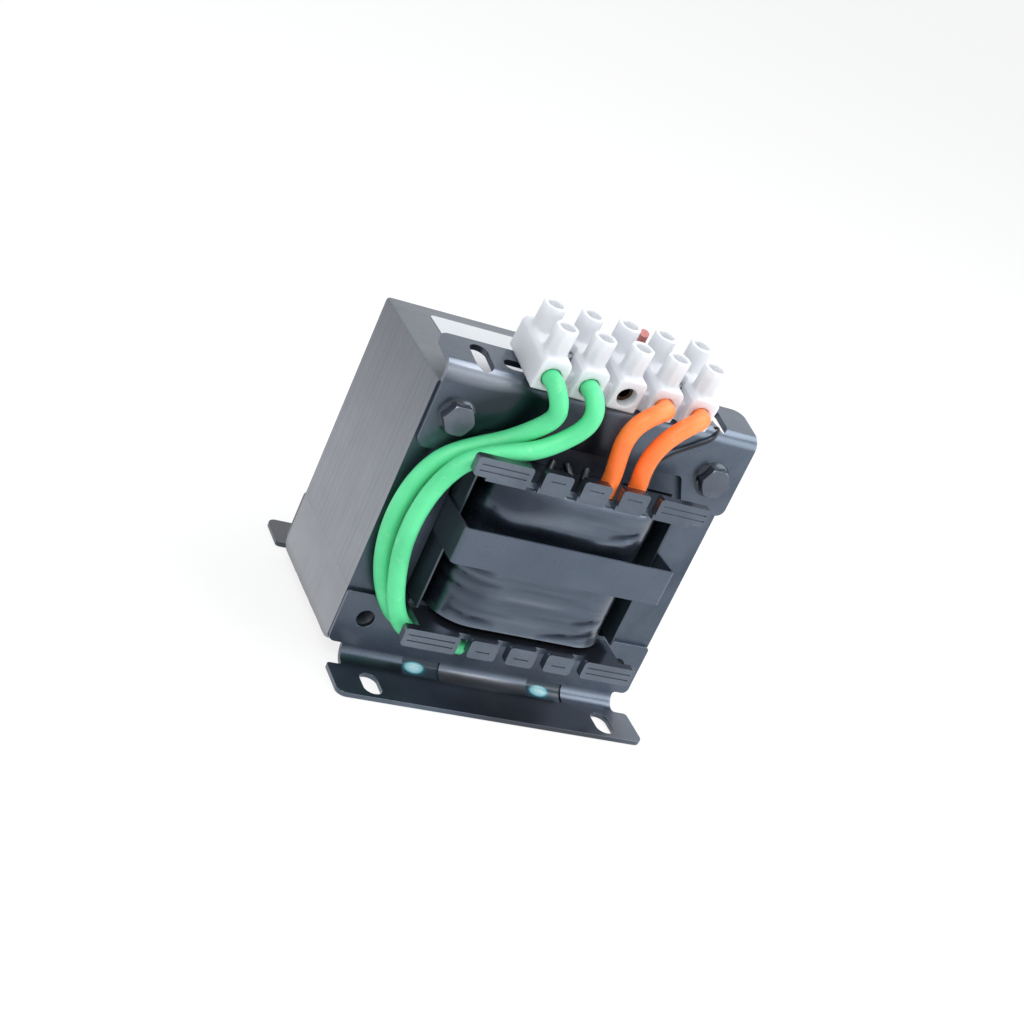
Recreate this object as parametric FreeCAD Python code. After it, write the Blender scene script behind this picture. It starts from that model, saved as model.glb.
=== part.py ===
import FreeCAD, Part
import math
import os
from FreeCAD import Placement, Rotation, Vector

# Laminated chassis transformer on four slotted feet.
# Lengths are in millimetres. X runs along the core's width, Y from the front to the back
# through the stack, Z up. The origin is on the underside of the feet, under the core's middle.

# Core laminations
tongue_width = 28.0
window_width = 14.0
limb_width = 14.0
window_height = 42.0
yoke_height = 14.0
stack_depth = 43.5
lamination_pack = 2.2
groove_width = 0.3
groove_depth = 0.2
cut_over = 1.0
corner_hole_radius = 2.25
corner_hole_inset = 7.0

# Sheet of the feet and the terminal bracket, and the bracket's bend
sheet = 1.5
bend_radius = 2.0
bracket_inset = 0.1

# Feet
foot_drop = 3.7
yoke_bead = 1.9
yoke_bead_radius = 1.2
foot_sheet = 1.2
foot_bend_radius = 3.0
foot_reach = 17.2
foot_leg_height = 13.8
foot_corner_radius = 2.5
foot_leg_corner = 1.0
foot_leg_low_corner = 1.6
foot_notch_corner = 0.8
foot_notch_drop = 0.5
foot_notch_width = 4.0
foot_notch_reach = 5.0
foot_slot_spacing = 64.0
foot_slot_offset = 11.4
foot_slot_width = 4.8
foot_slot_length = 8.4
film_window_width = 9.9
film_window_spacing = 34.6
film_window_shift = 0.75
film_window_top = 3.9
film_window_run = 0.6
film_thickness = 0.4

# Terminal bracket, which sits a little to the right of the core's middle
bracket_width = 84.4
bracket_shift = 0.7
flange_rise = 5.5
flange_tilt = 7.0
flange_depth = 13.0
flange_corner_radius = 3.0
ear_corner_radius = 2.2
ear_inner_corner = 1.0
arch_corner_radius = 1.5
ear_bottom_height = 53.8
ear_inner_half_width = 30.8
arch_half_width = 27.0
arch_height = 61.8
flange_slot_spacing = 64.0
flange_slot_width = 4.8
flange_slot_length = 10.2
flange_slot_offset = 6.0
cross_slot_spacing = 44.6
cross_slot_width = 4.2
cross_slot_length = 8.0

# Core bolts
bolt_radius = 2.0
bolt_head_across_flats = 7.0
bolt_head_height = 2.8
bolt_head_bevel = 0.15
washer_radius = 4.5
washer_thickness = 0.8
nut_height = 3.2
bolt_end = 1.4

# Bobbin
bobbin_clearance = 0.3
tube_wall = 1.2
bobbin_flange = 1.5
bobbin_flange_half_width = 27.5
bobbin_overhang = 12.8
rail_front = 13.5
rail_thickness = 2.4
rail_height = 4.4
low_flange_reach = 1.8
low_flange_drop = 1.1
flange_riser_gap = 0.2
rail_notch = 1.7
rail_lap = 0.4
rail_corner_radius = 0.9
rail_half_width = 31.4
wide_block = 14.3
small_block = 7.4
small_block_count = 3
slit_depth = 0.3
slit_width = 0.3
wide_slit_shares = (0.3, 0.62)
small_slit_shares = (0.55,)
wide_slit_reach = 0.42
small_slit_reach = 0.26

# Windings, from the bobbin tube outwards
primary_build = 3.8
barrier_build = 0.4
secondary_build = 3.3
wrap_build = 1.0
coil_end_bulge = 1.5
coil_first_corner = 1.5
coil_end_clearance = 0.1
tape_turns = 5
tape_step = 0.25

# Window liners and the strap across the coil
liner_thickness = 0.5
liner_gap = 0.9
liner_front = 7.0
strap_thickness = 0.6
strap_height = 9.4
strap_middle = 38.0
strap_front = 14.9
strap_grip = 9.0
strap_bend = 1.2
strap_clearance = 0.1
strap_flare = 1.0

# Bare label on the core
label_half_width = 32.1
label_front = 9.0
label_back = 38.7
label_corner = 1.2
label_thickness = 0.15

# Terminal block, in a frame that lies on the bracket's flange
pole_count = 5
pole_pitch = 10.1
pole_width = 7.4
block_middle = 1.8
block_overhang = 4.0
block_depth = 18.4
block_height = 8.5
pole_shoulder_width = 0.8
pole_shoulder_drop = 1.1
tower_radius = 2.9
tower_flat = 2.75
tower_edge_radius = 0.25
tower_sides = 8
tower_inset = 4.3
tower_height = 15.2
web_recess = 2.6
web_height = 4.8
pole_corner_radius = 0.4
entry_radius = 2.45
entry_height = 3.75
entry_depth = 2.7
sleeve_radius = 2.35
sleeve_bore = 1.5
well_radius = 1.95
clamp_screw_radius = 1.3
clamp_head_radius = 1.85
clamp_head_height = 1.8
clamp_head_depth = 2.2
screwdriver_slot = 0.6
thread_clearance = 0.05
fixing_screw_radius = 1.25
fixing_head_radius = 2.3
fixing_head_height = 1.6
fixing_hole_clearance = 0.15
fixing_nut_across_flats = 5.0
fixing_nut_height = 2.0
fixing_screw_end = 0.3

# Leads
lead_radius = 2.2
conductor_radius = 1.2
conductor_reach = 6.4
lead_end_clearance = 0.1
lead_straight = 0.6
bend_share = 0.45
screen_wire_radius = 0.35
tail_radius = 1.3
splice_radius = 0.9
splice_length = 2.6
splice_inset = 3.6

# Places that follow from the sizes above
core_half_width = tongue_width / 2 + window_width + limb_width
core_half_depth = stack_depth / 2
core_bottom = foot_drop + sheet
window_bottom = core_bottom + yoke_height
window_top = window_bottom + window_height
core_top = window_top + yoke_height
core_middle = (window_bottom + window_top) / 2
bolt_x = core_half_width - corner_hole_inset
bolt_z = core_top - corner_hole_inset
low_hole_z = core_bottom + corner_hole_inset
bracket_half_width = core_half_width - bracket_inset
foot_edge = core_half_depth + foot_reach
tube_half_x = tongue_width / 2 + bobbin_clearance + tube_wall
tube_half_y = core_half_depth + bobbin_clearance + tube_wall
flange_low = window_bottom + bobbin_clearance
flange_high = window_top - bobbin_clearance
coil_low = flange_low + bobbin_flange + coil_end_clearance
coil_high = flange_high - bobbin_flange - coil_end_clearance
flange_edge = core_half_depth + bobbin_overhang
tilt = math.radians(flange_tilt)
block_half_width = (pole_pitch * (pole_count - 1) + pole_width) / 2
all_depth = 4 * foot_edge


def box(x0, x1, y0, y1, z0, z1):
    return Part.makeBox(x1 - x0, y1 - y0, z1 - z0, Vector(x0, y0, z0))


def rod(radius, start, end):
    axis = end - start
    return Part.makeCylinder(radius, axis.Length, start, axis)


def hexagon(across_flats, start, axis):
    """Hexagonal prism with two corners along X."""
    corner = across_flats / math.sqrt(3)
    side = axis.cross(Vector(1, 0, 0)).normalize()
    points = []
    for k in range(6):
        angle = math.radians(60 * k)
        points.append(start + Vector(1, 0, 0) * (corner * math.cos(angle)) + side * (corner * math.sin(angle)))
    return Part.Face(Part.makePolygon(points + [points[0]])).extrude(axis)


def outline(corners, place):
    """Closed wire through (a, b, radius) corners, set in space by place(a, b)."""
    ends = []
    for k, (a, b, radius) in enumerate(corners):
        here = Vector(a, b, 0)
        before = Vector(corners[k - 1][0], corners[k - 1][1], 0)
        after_corner = corners[(k + 1) % len(corners)]
        after = Vector(after_corner[0], after_corner[1], 0)
        if radius <= 0:
            ends.append((here, here, here))
            continue
        back = (before - here).normalize()
        ahead = (after - here).normalize()
        half = back.getAngle(ahead) / 2
        reach = radius / math.tan(half)
        centre = here + (back + ahead).normalize() * (radius / math.sin(half))
        middle = centre + (here - centre).normalize() * radius
        ends.append((here + back * reach, middle, here + ahead * reach))
    edges = []
    for k, (start, middle, end) in enumerate(ends):
        last = ends[k - 1][2]
        if (start - last).Length > 1e-6:
            edges.append(Part.LineSegment(place(last.x, last.y), place(start.x, start.y)).toShape())
        if (end - start).Length > 1e-6:
            points = [place(p.x, p.y) for p in (start, middle, end)]
            edges.append(Part.Arc(points[0], points[1], points[2]).toShape())
    return Part.Wire(edges)


def plate_xz(corners, y0, y1):
    wire = outline(corners, lambda x, z: Vector(x, y0, z))
    return Part.Face(wire).extrude(Vector(0, y1 - y0, 0))


def plate_yz(corners, x0, x1):
    wire = outline(corners, lambda y, z: Vector(x0, y, z))
    return Part.Face(wire).extrude(Vector(x1 - x0, 0, 0))


def plate_xy(corners, z0, z1):
    wire = outline(corners, lambda x, y: Vector(x, y, z0))
    return Part.Face(wire).extrude(Vector(0, 0, z1 - z0))


def rectangle(a0, a1, b0, b1, radius):
    return [(a0, b0, radius), (a1, b0, radius), (a1, b1, radius), (a0, b1, radius)]


def slot_along_y(x, y, width, length, z0, z1):
    """Round-ended slot, cut as a solid, that runs front to back."""
    radius = width / 2
    reach = length / 2 - radius
    shape = box(x - radius, x + radius, y - reach, y + reach, z0, z1)
    for end in (y - reach, y + reach):
        shape = shape.fuse(Part.makeCylinder(radius, z1 - z0, Vector(x, end, z0)))
    return shape.removeSplitter()


def slot_along_x(x, y, width, length, z0, z1):
    """Round-ended slot, cut as a solid, that runs left to right."""
    radius = width / 2
    reach = length / 2 - radius
    shape = box(x - reach, x + reach, y - radius, y + radius, z0, z1)
    for end in (x - reach, x + reach):
        shape = shape.fuse(Part.makeCylinder(radius, z1 - z0, Vector(end, y, z0)))
    return shape.removeSplitter()


def mirrored_in_y(shape):
    return shape.mirror(Vector(0, 0, 0), Vector(0, 1, 0))


def mirrored_in_z(shape, height):
    return shape.mirror(Vector(0, 0, height), Vector(0, 0, 1))


def on_flange(shape):
    """Set a shape from the block's frame onto the sloping flange."""
    turn = Rotation(Vector(1, 0, 0), flange_tilt)
    height = core_top + flange_rise - block_overhang * math.tan(tilt)
    shape.Placement = Placement(Vector(block_middle, -core_half_depth - block_overhang, height), turn)
    return shape


def flange_point(x, depth, height):
    """A point of the block's frame, in the part's frame."""
    base = core_top + flange_rise - block_overhang * math.tan(tilt)
    y = -core_half_depth - block_overhang + depth * math.cos(tilt) - height * math.sin(tilt)
    return Vector(block_middle + x, y, base + depth * math.sin(tilt) + height * math.cos(tilt))


def export(name, shape):
    shape.exportStep("parts/" + name + ".step")
    print(name, "solids", len(shape.Solids), "volume", round(shape.Volume, 1), "valid", shape.isValid())


def corner_holes(height):
    """Through holes on both sides of the core, at one height."""
    depth = core_half_depth + all_depth
    holes = []
    for x in (-bolt_x, bolt_x):
        holes.append(rod(corner_hole_radius, Vector(x, -depth, height), Vector(x, depth, height)))
    return holes


def make_e_core():
    tongue = tongue_width / 2
    limb = tongue + window_width
    corners = [
        (-core_half_width, window_bottom, 0),
        (-core_half_width, core_top, 0),
        (core_half_width, core_top, 0),
        (core_half_width, window_bottom, 0),
        (limb, window_bottom, 0),
        (limb, window_top, 0),
        (tongue, window_top, 0),
        (tongue, window_bottom, 0),
        (-tongue, window_bottom, 0),
        (-tongue, window_top, 0),
        (-limb, window_top, 0),
        (-limb, window_bottom, 0),
    ]
    stack = plate_xz(corners, -core_half_depth, core_half_depth)
    tools = corner_holes(bolt_z)
    packs = int(round(stack_depth / lamination_pack))
    pitch = stack_depth / packs
    for k in range(1, packs):
        y = -core_half_depth + k * pitch
        front = y - groove_width / 2
        back = y + groove_width / 2
        inner = core_half_width - groove_depth
        for side in (-1, 1):
            x0, x1 = sorted((side * inner, side * (core_half_width + cut_over)))
            tools.append(box(x0, x1, front, back, window_bottom, core_top + cut_over))
        tools.append(box(-inner, inner, front, back, core_top - groove_depth, core_top + cut_over))
    return stack.cut(tools)


def make_i_core():
    """The lower yoke, with the thick varnish bead that hangs along its underside."""
    low = core_bottom - yoke_bead
    corners = [
        (-core_half_depth, low, yoke_bead_radius),
        (core_half_depth, low, yoke_bead_radius),
        (core_half_depth, window_bottom, 0),
        (-core_half_depth, window_bottom, 0),
    ]
    stack = plate_yz(corners, -core_half_width, core_half_width)
    return stack.cut(corner_holes(low_hole_z))


def foot_profile(inset, thickness, leg_top):
    """Section of a foot in Y and Z: a leg on the core's front face and a flange that runs forward."""
    back = -core_half_depth - inset
    front = back - thickness
    low = inset
    high = low + thickness
    inner = foot_bend_radius + foot_sheet - inset - thickness
    return [
        (back, leg_top, 0),
        (front, leg_top, 0),
        (front, high, inner),
        (-foot_edge, high, 0),
        (-foot_edge, low, 0),
        (back, low, inner + thickness),
    ]


def film_windows():
    """The two places where the front foot's bend is cut open."""
    low = -cut_over
    high = film_window_top
    front = -core_half_depth - foot_sheet - foot_bend_radius - film_window_run
    tools = []
    half = film_window_width / 2
    for side in (-1, 1):
        x = film_window_shift + side * film_window_spacing / 2
        tools.append(box(x - half, x + half, front, -core_half_depth + cut_over, low, high))
    return tools


def make_foot(with_windows):
    leg_top = core_bottom + foot_leg_height
    bent = plate_yz(foot_profile(0, foot_sheet, leg_top), -bracket_half_width, bracket_half_width)
    notch = bracket_half_width - foot_notch_width
    leg_low = core_bottom - foot_notch_drop
    bend_low = foot_sheet + foot_bend_radius
    front_corners = [
        (-bracket_half_width, leg_low, foot_leg_low_corner),
        (-bracket_half_width, leg_top, foot_leg_corner),
        (bracket_half_width, leg_top, foot_leg_corner),
        (bracket_half_width, leg_low, foot_leg_low_corner),
        (notch, leg_low, foot_notch_corner),
        (notch, -cut_over, 0),
        (-notch, -cut_over, 0),
        (-notch, leg_low, foot_notch_corner),
    ]
    leg_blank = plate_xz(front_corners, -core_half_depth - foot_sheet - foot_bend_radius, -core_half_depth)
    notch_front = -core_half_depth - foot_notch_reach
    foot_corners = [
        (-bracket_half_width, -foot_edge, foot_corner_radius),
        (bracket_half_width, -foot_edge, foot_corner_radius),
        (bracket_half_width, notch_front, foot_leg_corner),
        (notch, notch_front, foot_notch_corner),
        (notch, -core_half_depth, 0),
        (-notch, -core_half_depth, 0),
        (-notch, notch_front, foot_notch_corner),
        (-bracket_half_width, notch_front, foot_leg_corner),
    ]
    foot_blank = plate_xy(foot_corners, -cut_over, bend_low)
    foot = bent.common(leg_blank.fuse(foot_blank))
    tools = corner_holes(low_hole_z)
    for x in (-foot_slot_spacing / 2, foot_slot_spacing / 2):
        y = -core_half_depth - foot_slot_offset
        tools.append(slot_along_y(x, y, foot_slot_width, foot_slot_length, -cut_over, 2 * foot_sheet))
    if with_windows:
        tools += film_windows()
    return foot.cut(tools)


def make_varnish_films():
    """Cured varnish that spans the two windows in the front foot's bend."""
    inset = (foot_sheet - film_thickness) / 2
    leg_top = core_bottom + foot_leg_height
    bent = plate_yz(foot_profile(inset, film_thickness, leg_top), -bracket_half_width, bracket_half_width)
    films = []
    for window in film_windows():
        films.append(bent.common(window))
    return films


def make_terminal_bracket():
    rise = core_top + flange_rise
    front = -core_half_depth - sheet
    slope = math.tan(tilt)
    along = Vector(0, math.cos(tilt), math.sin(tilt))
    normal = Vector(0, -math.sin(tilt), math.cos(tilt))
    corner = Vector(0, front, rise - sheet * slope)
    rear_top = corner + along * flange_depth
    rear_low = rear_top - normal * sheet
    inner = Vector(0, -core_half_depth, rise - sheet / math.cos(tilt))
    leg_low = core_bottom + ear_bottom_height
    profile = [
        (front, leg_low, 0),
        (corner.y, corner.z, bend_radius + sheet),
        (rear_top.y, rear_top.z, 0),
        (rear_low.y, rear_low.z, 0),
        (inner.y, inner.z, bend_radius),
        (-core_half_depth, leg_low, 0),
    ]
    left = bracket_shift - bracket_width / 2
    right = bracket_shift + bracket_width / 2
    bent = plate_yz(profile, left, right)
    arch_top = core_bottom + arch_height
    beyond = core_top + 4 * flange_rise
    front_corners = [
        (left, leg_low, ear_corner_radius),
        (left, beyond, 0),
        (right, beyond, 0),
        (right, leg_low, ear_corner_radius),
        (ear_inner_half_width, leg_low, ear_inner_corner),
        (arch_half_width, arch_top, arch_corner_radius),
        (-arch_half_width, arch_top, arch_corner_radius),
        (-ear_inner_half_width, leg_low, ear_inner_corner),
    ]
    ahead = front - cut_over
    face_blank = plate_xz(front_corners, ahead, core_half_depth)
    plan_corners = rectangle(left, right, ahead, rear_top.y, flange_corner_radius)
    plan_corners[0] = (left, ahead, 0)
    plan_corners[1] = (right, ahead, 0)
    plan_blank = plate_xy(plan_corners, leg_low - cut_over, beyond)
    bracket = bent.common(face_blank).common(plan_blank)
    tools = corner_holes(bolt_z)
    depth = block_overhang + flange_slot_offset - sheet
    for x in (-flange_slot_spacing / 2, flange_slot_spacing / 2):
        shape = slot_along_y(x - block_middle, depth, flange_slot_width, flange_slot_length, -3 * sheet, sheet)
        tools.append(on_flange(shape))
    for x in (-cross_slot_spacing / 2, cross_slot_spacing / 2):
        shape = slot_along_x(x - block_middle, depth, cross_slot_width, cross_slot_length, -3 * sheet, sheet)
        tools.append(on_flange(shape))
    for x in fixing_places():
        hole = rod(fixing_screw_radius + fixing_hole_clearance, flange_point(x, block_depth / 2, -3 * sheet),
                   flange_point(x, block_depth / 2, sheet))
        tools.append(hole)
    return bracket.cut(tools)


def make_core_bolts():
    bolts = []
    for x in (-bolt_x, bolt_x):
        seat = Vector(x, -core_half_depth - sheet, bolt_z)
        head = hexagon(bolt_head_across_flats, seat, Vector(0, -bolt_head_height, 0))
        cone_radius = bolt_head_across_flats / 2 + bolt_head_bevel
        cone = Part.makeCone(cone_radius + bolt_head_height, cone_radius, bolt_head_height,
                             seat, Vector(0, -1, 0))
        rear = core_half_depth + washer_thickness + nut_height + bolt_end
        shank = rod(bolt_radius, seat, Vector(x, rear, bolt_z))
        bolts.append(head.common(cone).fuse(shank).removeSplitter())
    return bolts


def make_core_washers():
    washers = []
    for x in (-bolt_x, bolt_x):
        start = Vector(x, core_half_depth, bolt_z)
        end = Vector(x, core_half_depth + washer_thickness, bolt_z)
        washers.append(rod(washer_radius, start, end).cut(rod(corner_hole_radius, start, end)))
    return washers


def make_core_nuts():
    nuts = []
    for x in (-bolt_x, bolt_x):
        start = Vector(x, core_half_depth + washer_thickness, bolt_z)
        axis = Vector(0, nut_height, 0)
        nut = hexagon(bolt_head_across_flats, start, axis)
        nuts.append(nut.cut(rod(bolt_radius, start, start + axis)))
    return nuts


def rail_blocks():
    """Start and end of each block along the rail, from left to right."""
    gaps = small_block_count + 1
    room = 2 * rail_half_width - 2 * wide_block - small_block_count * small_block
    gap = room / gaps
    widths = [wide_block] + [small_block] * small_block_count + [wide_block]
    places = []
    x = -rail_half_width
    for width in widths:
        places.append((x, x + width))
        x += width + gap
    return places


def make_rail(bottom, reach):
    """The front rail of one flange: blocks with slits in their faces."""
    front = -core_half_depth - rail_front - reach
    shapes = []
    for x0, x1 in rail_blocks():
        corners = rectangle(x0, x1, bottom, bottom + rail_lap + rail_height, rail_corner_radius)
        block = plate_xz(corners, front, front + rail_thickness)
        slits = []
        wide = x1 - x0 > (small_block + wide_block) / 2
        shares = wide_slit_shares if wide else small_slit_shares
        reach = (wide_slit_reach if wide else small_slit_reach) * (x1 - x0)
        middle = (x0 + x1) / 2
        for share in shares:
            z = bottom + share * (rail_lap + rail_height)
            slits.append(box(middle - reach, middle + reach, front - cut_over, front + slit_depth,
                             z, z + slit_width))
        shapes.append(block.cut(slits))
    return shapes


def flange_plates(reach, drop):
    """Plates of one flange: the inner one, and the front and rear ones, notched between the blocks."""
    edge = flange_edge + reach
    inner = core_half_depth + sheet + flange_riser_gap
    half = bobbin_flange_half_width
    low = flange_high - bobbin_flange
    middle = box(-half, half, -inner - bobbin_flange, inner + bobbin_flange, low, flange_high)
    front = box(-half, half, -edge, -inner, low + drop, flange_high + drop)
    blocks = rail_blocks()
    notches = []
    for left, right in zip(blocks, blocks[1:]):
        notches.append(box(left[1], right[0], -edge - cut_over, -edge + rail_notch,
                           low - cut_over, flange_high + drop + cut_over))
    front = front.cut(notches)
    return [middle, front, mirrored_in_y(front)]


def make_bobbin():
    cavity_x = tongue_width / 2 + bobbin_clearance
    cavity_y = core_half_depth + bobbin_clearance
    middle = (flange_low + flange_high) / 2
    tube = box(-tube_half_x, tube_half_x, -tube_half_y, tube_half_y, flange_low, flange_high)
    pieces = []
    for reach, drop in ((0, 0), (low_flange_reach, low_flange_drop)):
        rail = make_rail(flange_high - rail_lap, reach)
        flange = flange_plates(reach, drop) + rail + [mirrored_in_y(block) for block in rail]
        if reach:
            flange = [mirrored_in_z(shape, middle) for shape in flange]
        pieces += flange
    cavity = box(-cavity_x, cavity_x, -cavity_y, cavity_y, core_bottom, core_top)
    return tube.fuse(pieces).cut(cavity).removeSplitter()


def coil_ring(inner_x, inner_y, inner_corner, build, bulge, low, high):
    outer_x = inner_x + build
    outer_y = inner_y + build + bulge
    outer = plate_xy(rectangle(-outer_x, outer_x, -outer_y, outer_y, inner_corner + build), low, high)
    inner_radius = inner_corner if inner_corner > coil_first_corner else 0
    inner = plate_xy(rectangle(-inner_x, inner_x, -inner_y, inner_y, inner_radius), low, high)
    return outer.cut(inner)


def make_windings():
    """Primary, barrier, secondary and tape wrap, each one a closed ring on the one before."""
    rings = {}
    x = tube_half_x
    y = tube_half_y
    corner = coil_first_corner
    bulge = coil_end_bulge
    for name, build in (("primary_winding", primary_build), ("winding_barrier", barrier_build),
                        ("secondary_winding", secondary_build)):
        rings[name] = coil_ring(x, y, corner, build, bulge, coil_low, coil_high)
        x += build
        y += build + bulge
        corner += build
        bulge = 0
    turn_height = (coil_high - coil_low) / tape_turns
    wrap = []
    for k in range(tape_turns):
        low = coil_low + k * turn_height
        build = wrap_build - (tape_step if k % 2 else 0)
        wrap.append(coil_ring(x, y, corner, build, 0, low, low + turn_height))
    rings["coil_tape_wrap"] = wrap[0].fuse(wrap[1:]).removeSplitter()
    return rings


def make_liner(side):
    outer = core_half_width - limb_width - liner_gap
    x0, x1 = sorted((side * outer, side * (outer - liner_thickness)))
    reach = core_half_depth + liner_front
    return box(x0, x1, -reach, reach, flange_low + bobbin_flange, flange_high - bobbin_flange)


def make_strap():
    half = core_half_width - limb_width - strap_clearance
    front = -core_half_depth - strap_front
    mouth = -core_half_depth - strap_bend
    rear = -core_half_depth + strap_grip
    low = core_bottom + strap_middle - strap_height / 2
    outer = [
        (-half, rear, 0),
        (-half, front, strap_bend),
        (half + strap_flare, front, strap_bend),
        (half, mouth, 0),
        (half, rear, 0),
        (half - strap_thickness, rear, 0),
        (half - strap_thickness, mouth, 0),
        (half + strap_flare - strap_thickness, front + strap_thickness, strap_bend - strap_thickness),
        (-half + strap_thickness, front + strap_thickness, strap_bend - strap_thickness),
        (-half + strap_thickness, rear, 0),
    ]
    return plate_xy(outer, low, low + strap_height)


def make_label():
    corners = rectangle(-label_half_width, label_half_width, -core_half_depth + label_front,
                        -core_half_depth + label_back, label_corner)
    return plate_xy(corners, core_top, core_top + label_thickness)


def pole_places():
    return [pole_pitch * (k - (pole_count - 1) / 2) for k in range(pole_count)]


def fixing_places():
    """The fixing screws stand between the first two poles and between the last two."""
    poles = pole_places()
    return [(poles[0] + poles[1]) / 2, (poles[-2] + poles[-1]) / 2]


def tower_depths():
    return [tower_inset, block_depth - tower_inset]


def front_tower(x):
    """The screw towers over the wire entries are eight-sided; the rear ones are round."""
    reach = tower_flat / math.cos(math.pi / tower_sides)
    corners = []
    for k in range(tower_sides):
        angle = (k + 0.5) * 2 * math.pi / tower_sides
        corners.append((x + reach * math.cos(angle), tower_inset + reach * math.sin(angle), tower_edge_radius))
    return plate_xy(corners, entry_height, tower_height)


def pole_section(x):
    """Outline of a pole from the front: upright sides and sloped shoulders."""
    side = pole_width / 2
    top = side - pole_shoulder_width
    shoulder = block_height - pole_shoulder_drop
    half = [(side, 0, 0), (side, shoulder, 0), (top, block_height, 0)]
    right = [(x + a, b, r) for a, b, r in half]
    left = [(x - a, b, r) for a, b, r in reversed(half)]
    return right + left


def make_terminal_housing():
    shapes = []
    poles = pole_places()
    web = box(poles[0], poles[-1], web_recess, block_depth - web_recess, 0, web_height)
    for x in poles:
        corners = rectangle(0, block_depth, 0, block_height, pole_corner_radius)
        body = plate_yz(corners, x - pole_width / 2, x + pole_width / 2)
        body = body.common(plate_xz(pole_section(x), 0, block_depth))
        shapes.append(body)
        shapes.append(front_tower(x))
        depth = block_depth - tower_inset
        shapes.append(rod(tower_radius, Vector(x, depth, entry_height), Vector(x, depth, tower_height)))
    housing = web.fuse(shapes)
    tools = []
    for x in poles:
        tools.append(rod(entry_radius, Vector(x, -1, entry_height), Vector(x, block_depth + 1, entry_height)))
        for depth in tower_depths():
            tools.append(rod(well_radius, Vector(x, depth, entry_height), Vector(x, depth, tower_height + 1)))
    for x in fixing_places():
        depth = block_depth / 2
        hole = fixing_screw_radius + fixing_hole_clearance
        relief = fixing_head_radius + fixing_hole_clearance
        tools.append(rod(hole, Vector(x, depth, -1), Vector(x, depth, web_height + 1)))
        tools.append(rod(relief, Vector(x, depth, web_height), Vector(x, depth, tower_height)))
    return on_flange(housing.cut(tools).removeSplitter())


def make_terminal_sleeve(x):
    """Brass sleeve in one pole, tapped from above for its two clamping screws."""
    start = Vector(x, entry_depth, entry_height)
    end = Vector(x, block_depth - entry_depth, entry_height)
    tools = [rod(sleeve_bore, start, end)]
    for depth in tower_depths():
        top = entry_height + 2 * sleeve_radius
        tools.append(rod(clamp_screw_radius + thread_clearance, Vector(x, depth, entry_height),
                         Vector(x, depth, top)))
    return on_flange(rod(sleeve_radius, start, end).cut(tools))


def make_terminal_screws():
    screws = []
    head_top = tower_height - clamp_head_depth
    head_low = head_top - clamp_head_height
    tip = entry_height + conductor_radius + thread_clearance
    for x in pole_places():
        for depth in tower_depths():
            shank = rod(clamp_screw_radius, Vector(x, depth, tip), Vector(x, depth, head_low))
            head = rod(clamp_head_radius, Vector(x, depth, head_low), Vector(x, depth, head_top))
            half = screwdriver_slot / 2
            slot = box(x - half, x + half, depth - 2 * clamp_head_radius, depth + 2 * clamp_head_radius,
                       head_top - clamp_head_height / 2, head_top + 1)
            screws.append(on_flange(shank.fuse(head).cut(slot).removeSplitter()))
    return screws


def make_block_screws():
    screws = []
    depth = block_depth / 2
    for x in fixing_places():
        low = -sheet - fixing_nut_height - fixing_screw_end
        shank = rod(fixing_screw_radius, Vector(x, depth, low), Vector(x, depth, web_height))
        top = web_height + fixing_head_height
        head = rod(fixing_head_radius, Vector(x, depth, web_height), Vector(x, depth, top))
        half = screwdriver_slot / 2
        slot = box(x - 2 * fixing_head_radius, x + 2 * fixing_head_radius, depth - half, depth + half,
                   top - fixing_head_height / 2, top + 1)
        screws.append(on_flange(shank.fuse(head).cut(slot).removeSplitter()))
    return screws


def make_block_nuts():
    nuts = []
    depth = block_depth / 2
    for x in fixing_places():
        start = Vector(x, depth, -sheet)
        axis = Vector(0, 0, -fixing_nut_height)
        nut = hexagon(fixing_nut_across_flats, start, axis)
        nuts.append(on_flange(nut.cut(rod(fixing_screw_radius, start, start + axis))))
    return nuts


def tube_along(points, radius):
    """Tube on straight runs joined by tangent arcs, each arc as large as its two runs allow."""
    edges = []
    radii = []
    last = points[0]
    for k in range(1, len(points) - 1):
        here = points[k]
        back = points[k - 1] - here
        ahead = points[k + 1] - here
        reach = bend_share * min(back.Length, ahead.Length)
        back.normalize()
        ahead.normalize()
        half = back.getAngle(ahead) / 2
        bend = reach * math.tan(half)
        centre = here + (back + ahead).normalize() * (reach / math.cos(half))
        start = here + back * reach
        end = here + ahead * reach
        middle = centre + (here - centre).normalize() * bend
        edges.append(Part.LineSegment(last, start).toShape())
        edges.append(Part.Arc(start, middle, end).toShape())
        radii.append(round(bend, 1))
        last = end
    edges.append(Part.LineSegment(last, points[-1]).toShape())
    path = Part.Wire(edges)
    direction = points[1] - points[0]
    section = Part.Wire([Part.makeCircle(radius, points[0], direction)])
    tube = path.makePipeShell([section], True, False)
    expected = math.pi * radius * radius * path.Length
    print("tube length", round(path.Length, 1), "volume share", round(tube.Volume / expected, 4), "radii", radii)
    return tube


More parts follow.
